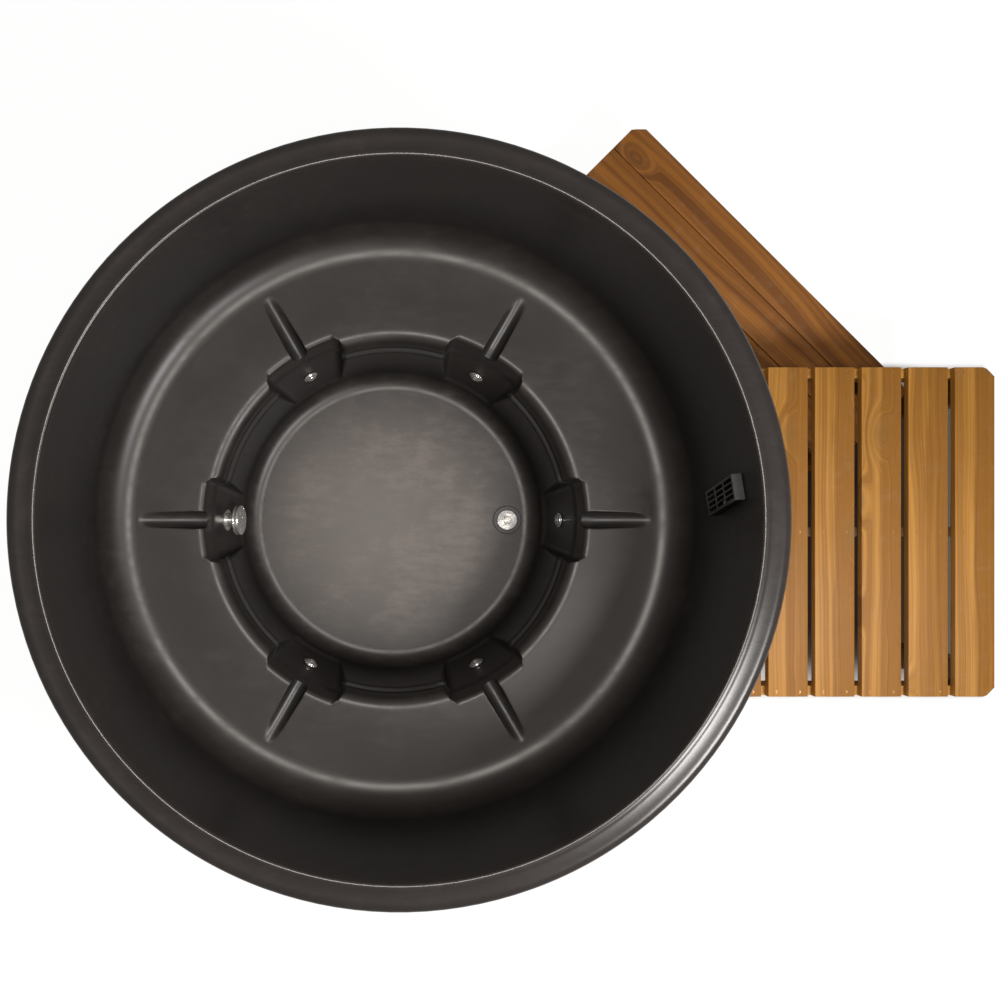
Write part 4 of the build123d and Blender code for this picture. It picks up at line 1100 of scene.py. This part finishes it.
def makeBarrel():
    source = linkObject("stave", staveMesh())
    panels = sorted(node for node in frame["nodes"] if node.startswith("stave_panel_"))
    repeatedPiece("barrelStaves", bpy.data.meshes.new("barrelStaves"), staveRing, {
        "Stave": source, "Count": stave["count"], "Seed": stave["seed"]}, "cladding_wood", panels, 30)
    bpy.data.objects.remove(source)


makeBarrel()


# Everything else keeps the shape of its CAD node, with its seams merged, edges eased and faces smoothed

# Painted shade: the middle bearer, props, spacer and legs under the platform are darkened towards near-black
dressed = {"look": {"overflow_tray": "darkPlastic", "suction_fitting": "chrome"},
           "easeTimber": 0.0018, "easeFrom": 0.035, "sharpCorner": 0.6, "smoothAngle": math.radians(32),
           "stain": {"platform_bearer_2": 0.92, "platform_props": 0.9, "platform_spacer": 0.9}}
dressed["stain"].update({f"platform_leg_{k}": 0.8 for k in range(1, 5)})
timberSlots = ("platform_wood", "step_wood", "frame_timber")


def dressNode(node):
    slot = slotOf[node]
    name = "".join(word.capitalize() if k else word for k, word in enumerate(node.split("_")))
    mesh = frame["nodes"][node].data.copy()
    mesh.name = name
    build = bmesh.new()
    build.from_mesh(mesh)
    bmesh.ops.remove_doubles(build, verts=build.verts, dist=2e-6)
    if slot in timberSlots:
        bmesh.ops.dissolve_limit(build, angle_limit=math.radians(0.5), verts=build.verts, edges=build.edges)
        edges = [edge for edge in build.edges
                 if edge.calc_length() > dressed["easeFrom"]
                 and edge.calc_face_angle(0.0) > dressed["sharpCorner"]]
        bmesh.ops.bevel(build, geom=edges, offset=dressed["easeTimber"], offset_type="OFFSET", segments=2,
                        profile=0.5, affect="EDGES", clamp_overlap=False)
    build.to_mesh(mesh)
    build.free()
    smoothByAngle(mesh, dressed["smoothAngle"])
    piece = linkObject(name, mesh)
    # A second attribute carries how far the piece is darkened as painted shade
    tone, stain = random.Random(node).random(), dressed["stain"].get(node, 0.0)
    for label, value in (("boardTone", tone), ("darkStain", stain)):
        layer = mesh.attributes.new(label, "FLOAT", "POINT")
        layer.data.foreach_set("value", [value] * len(mesh.vertices))
    finishPiece(piece, bodyOf[node], slot, [node], dressed["look"].get(node))


for node in sorted(frame["nodes"]):
    if node not in replacedNodes:
        dressNode(node)
print("other pieces dressed")


# Camera, floor and lights

view = {"place": (-0.058, 0.0, 3.40), "sensor": 36.0, "lens": 36.0, "shiftX": 0.125, "shiftY": 0.02}


def makeCamera():
    camera = bpy.data.cameras.new("camera")
    camera.sensor_width = view["sensor"]
    camera.lens = view["lens"]
    camera.shift_x = view["shiftX"]
    camera.shift_y = view["shiftY"]
    holder = bpy.data.objects.new("camera", camera)
    holder.location = view["place"]
    bpy.context.scene.collection.objects.link(holder)
    bpy.context.scene.camera = holder


# shadePaint is a painted shadow: a near-black colour on the floor under the platform, with edges softened by
# paintSoft
floorLook = {"half": 30, "drop": 0.0005, "paint": (0.80, 0.80, 0.80, 1), "glow": 0.85, "glowStrength": 1.10,
             "shadeLow": (1.18, -0.62), "shadeHigh": (2.03, 0.54), "shadeSoft": 0.03, "paintSoft": 0.17,
             "shadePaint": (0.065, 0.055, 0.045, 1), "underTub": (0.90, 1.12)}


def makeFloor():
    look = floorLook
    half, drop = look["half"], look["drop"]
    corners = [(-half, -half, -drop), (half, -half, -drop), (half, half, -drop), (-half, half, -drop)]
    mesh = meshFrom("floor", corners, [(0, 1, 2, 3)])
    floor = linkObject("floor", mesh)
    material = bpy.data.materials.new("floorPaint")
    material.use_nodes = True
    tree = material.node_tree
    tree.nodes.clear()
    vector = objectVector(tree)
    split = addNode(tree, "ShaderNodeSeparateXYZ", {0: vector})
    masks = []
    for soft in (look["shadeSoft"], look["paintSoft"]):
        mask = 1.0
        for axis in (0, 1):
            low, high = look["shadeLow"][axis], look["shadeHigh"][axis]
            along = split.outputs[axis]
            mask = times(tree, mask, mapRange(tree, along, low, low + soft))
            mask = times(tree, mask, mapRange(tree, along, high - soft, high, 1.0, 0.0))
        masks.append(mask)
    # Painted shadow: under the platform, seen through the gaps between its boards, the floor's colour turns
    # near-black
    paint = mixColour(tree, masks[1], look["paint"], look["shadePaint"])
    underTub = mapRange(tree, lengthOf(tree, vector), *look["underTub"], 1.0, 0.0)
    shade = mathNode(tree, "MAXIMUM", masks[0], underTub)
    matte = addNode(tree, "ShaderNodeBsdfDiffuse", {"Color": paint})
    glow = addNode(tree, "ShaderNodeEmission", {"Color": (1, 1, 1, 1), "Strength": look["glowStrength"]})
    seen = addNode(tree, "ShaderNodeLightPath").outputs["Is Camera Ray"]
    share = times(tree, seen, look["glow"])
    share = times(tree, share, mathNode(tree, "SUBTRACT", 1.0, shade))
    both = addNode(tree, "ShaderNodeMixShader", {0: share, 1: matte.outputs[0], 2: glow.outputs[0]})
    clear = addNode(tree, "ShaderNodeBsdfTransparent")
    below = addNode(tree, "ShaderNodeNewGeometry").outputs["Backfacing"]
    shown = addNode(tree, "ShaderNodeMixShader", {0: below, 1: both.outputs[0], 2: clear.outputs[0]})
    output = addNode(tree, "ShaderNodeOutputMaterial")
    tree.links.new(shown.outputs[0], output.inputs[0])
    mesh.materials.append(material)


lights = {
    "overhead": {"place": (-0.06, 0.0, 3.60), "size": 0.60, "power": 46.0, "colour": (1.0, 0.94, 0.87)},
    "side": {"place": (1.66, -1.12, 3.05), "size": 0.90, "power": 78.0, "colour": (1.0, 0.98, 0.96)},
}
lightsAim = Vector((0, 0, 0.4))
studioLevel = 0.25


def makeLights():
    for name, light in lights.items():
        lamp = bpy.data.lights.new(name, "AREA")
        lamp.shape = "DISK"
        lamp.size = light["size"]
        lamp.energy = light["power"]
        lamp.color = light["colour"]
        holder = bpy.data.objects.new(name, lamp)
        holder.location = light["place"]
        aim = lightsAim - Vector(light["place"])
        holder.rotation_euler = aim.to_track_quat("-Z", "Y").to_euler()
        bpy.context.scene.collection.objects.link(holder)
    world = bpy.data.worlds.new("studio")
    world.use_nodes = True
    tree = world.node_tree
    tree.nodes.clear()
    dim = addNode(tree, "ShaderNodeBackground", {"Color": (1, 1, 1, 1), "Strength": studioLevel})
    white = addNode(tree, "ShaderNodeBackground", {"Color": (1, 1, 1, 1), "Strength": 1.0})
    seen = addNode(tree, "ShaderNodeLightPath").outputs["Is Camera Ray"]
    both = addNode(tree, "ShaderNodeMixShader", {0: seen, 1: dim.outputs[0], 2: white.outputs[0]})
    output = addNode(tree, "ShaderNodeOutputWorld")
    tree.links.new(both.outputs[0], output.inputs[0])
    bpy.context.scene.world = world


makeCamera()
makeFloor()
makeLights()
bpy.context.scene.view_settings.view_transform = "Standard"

print("camera, floor and lights placed")
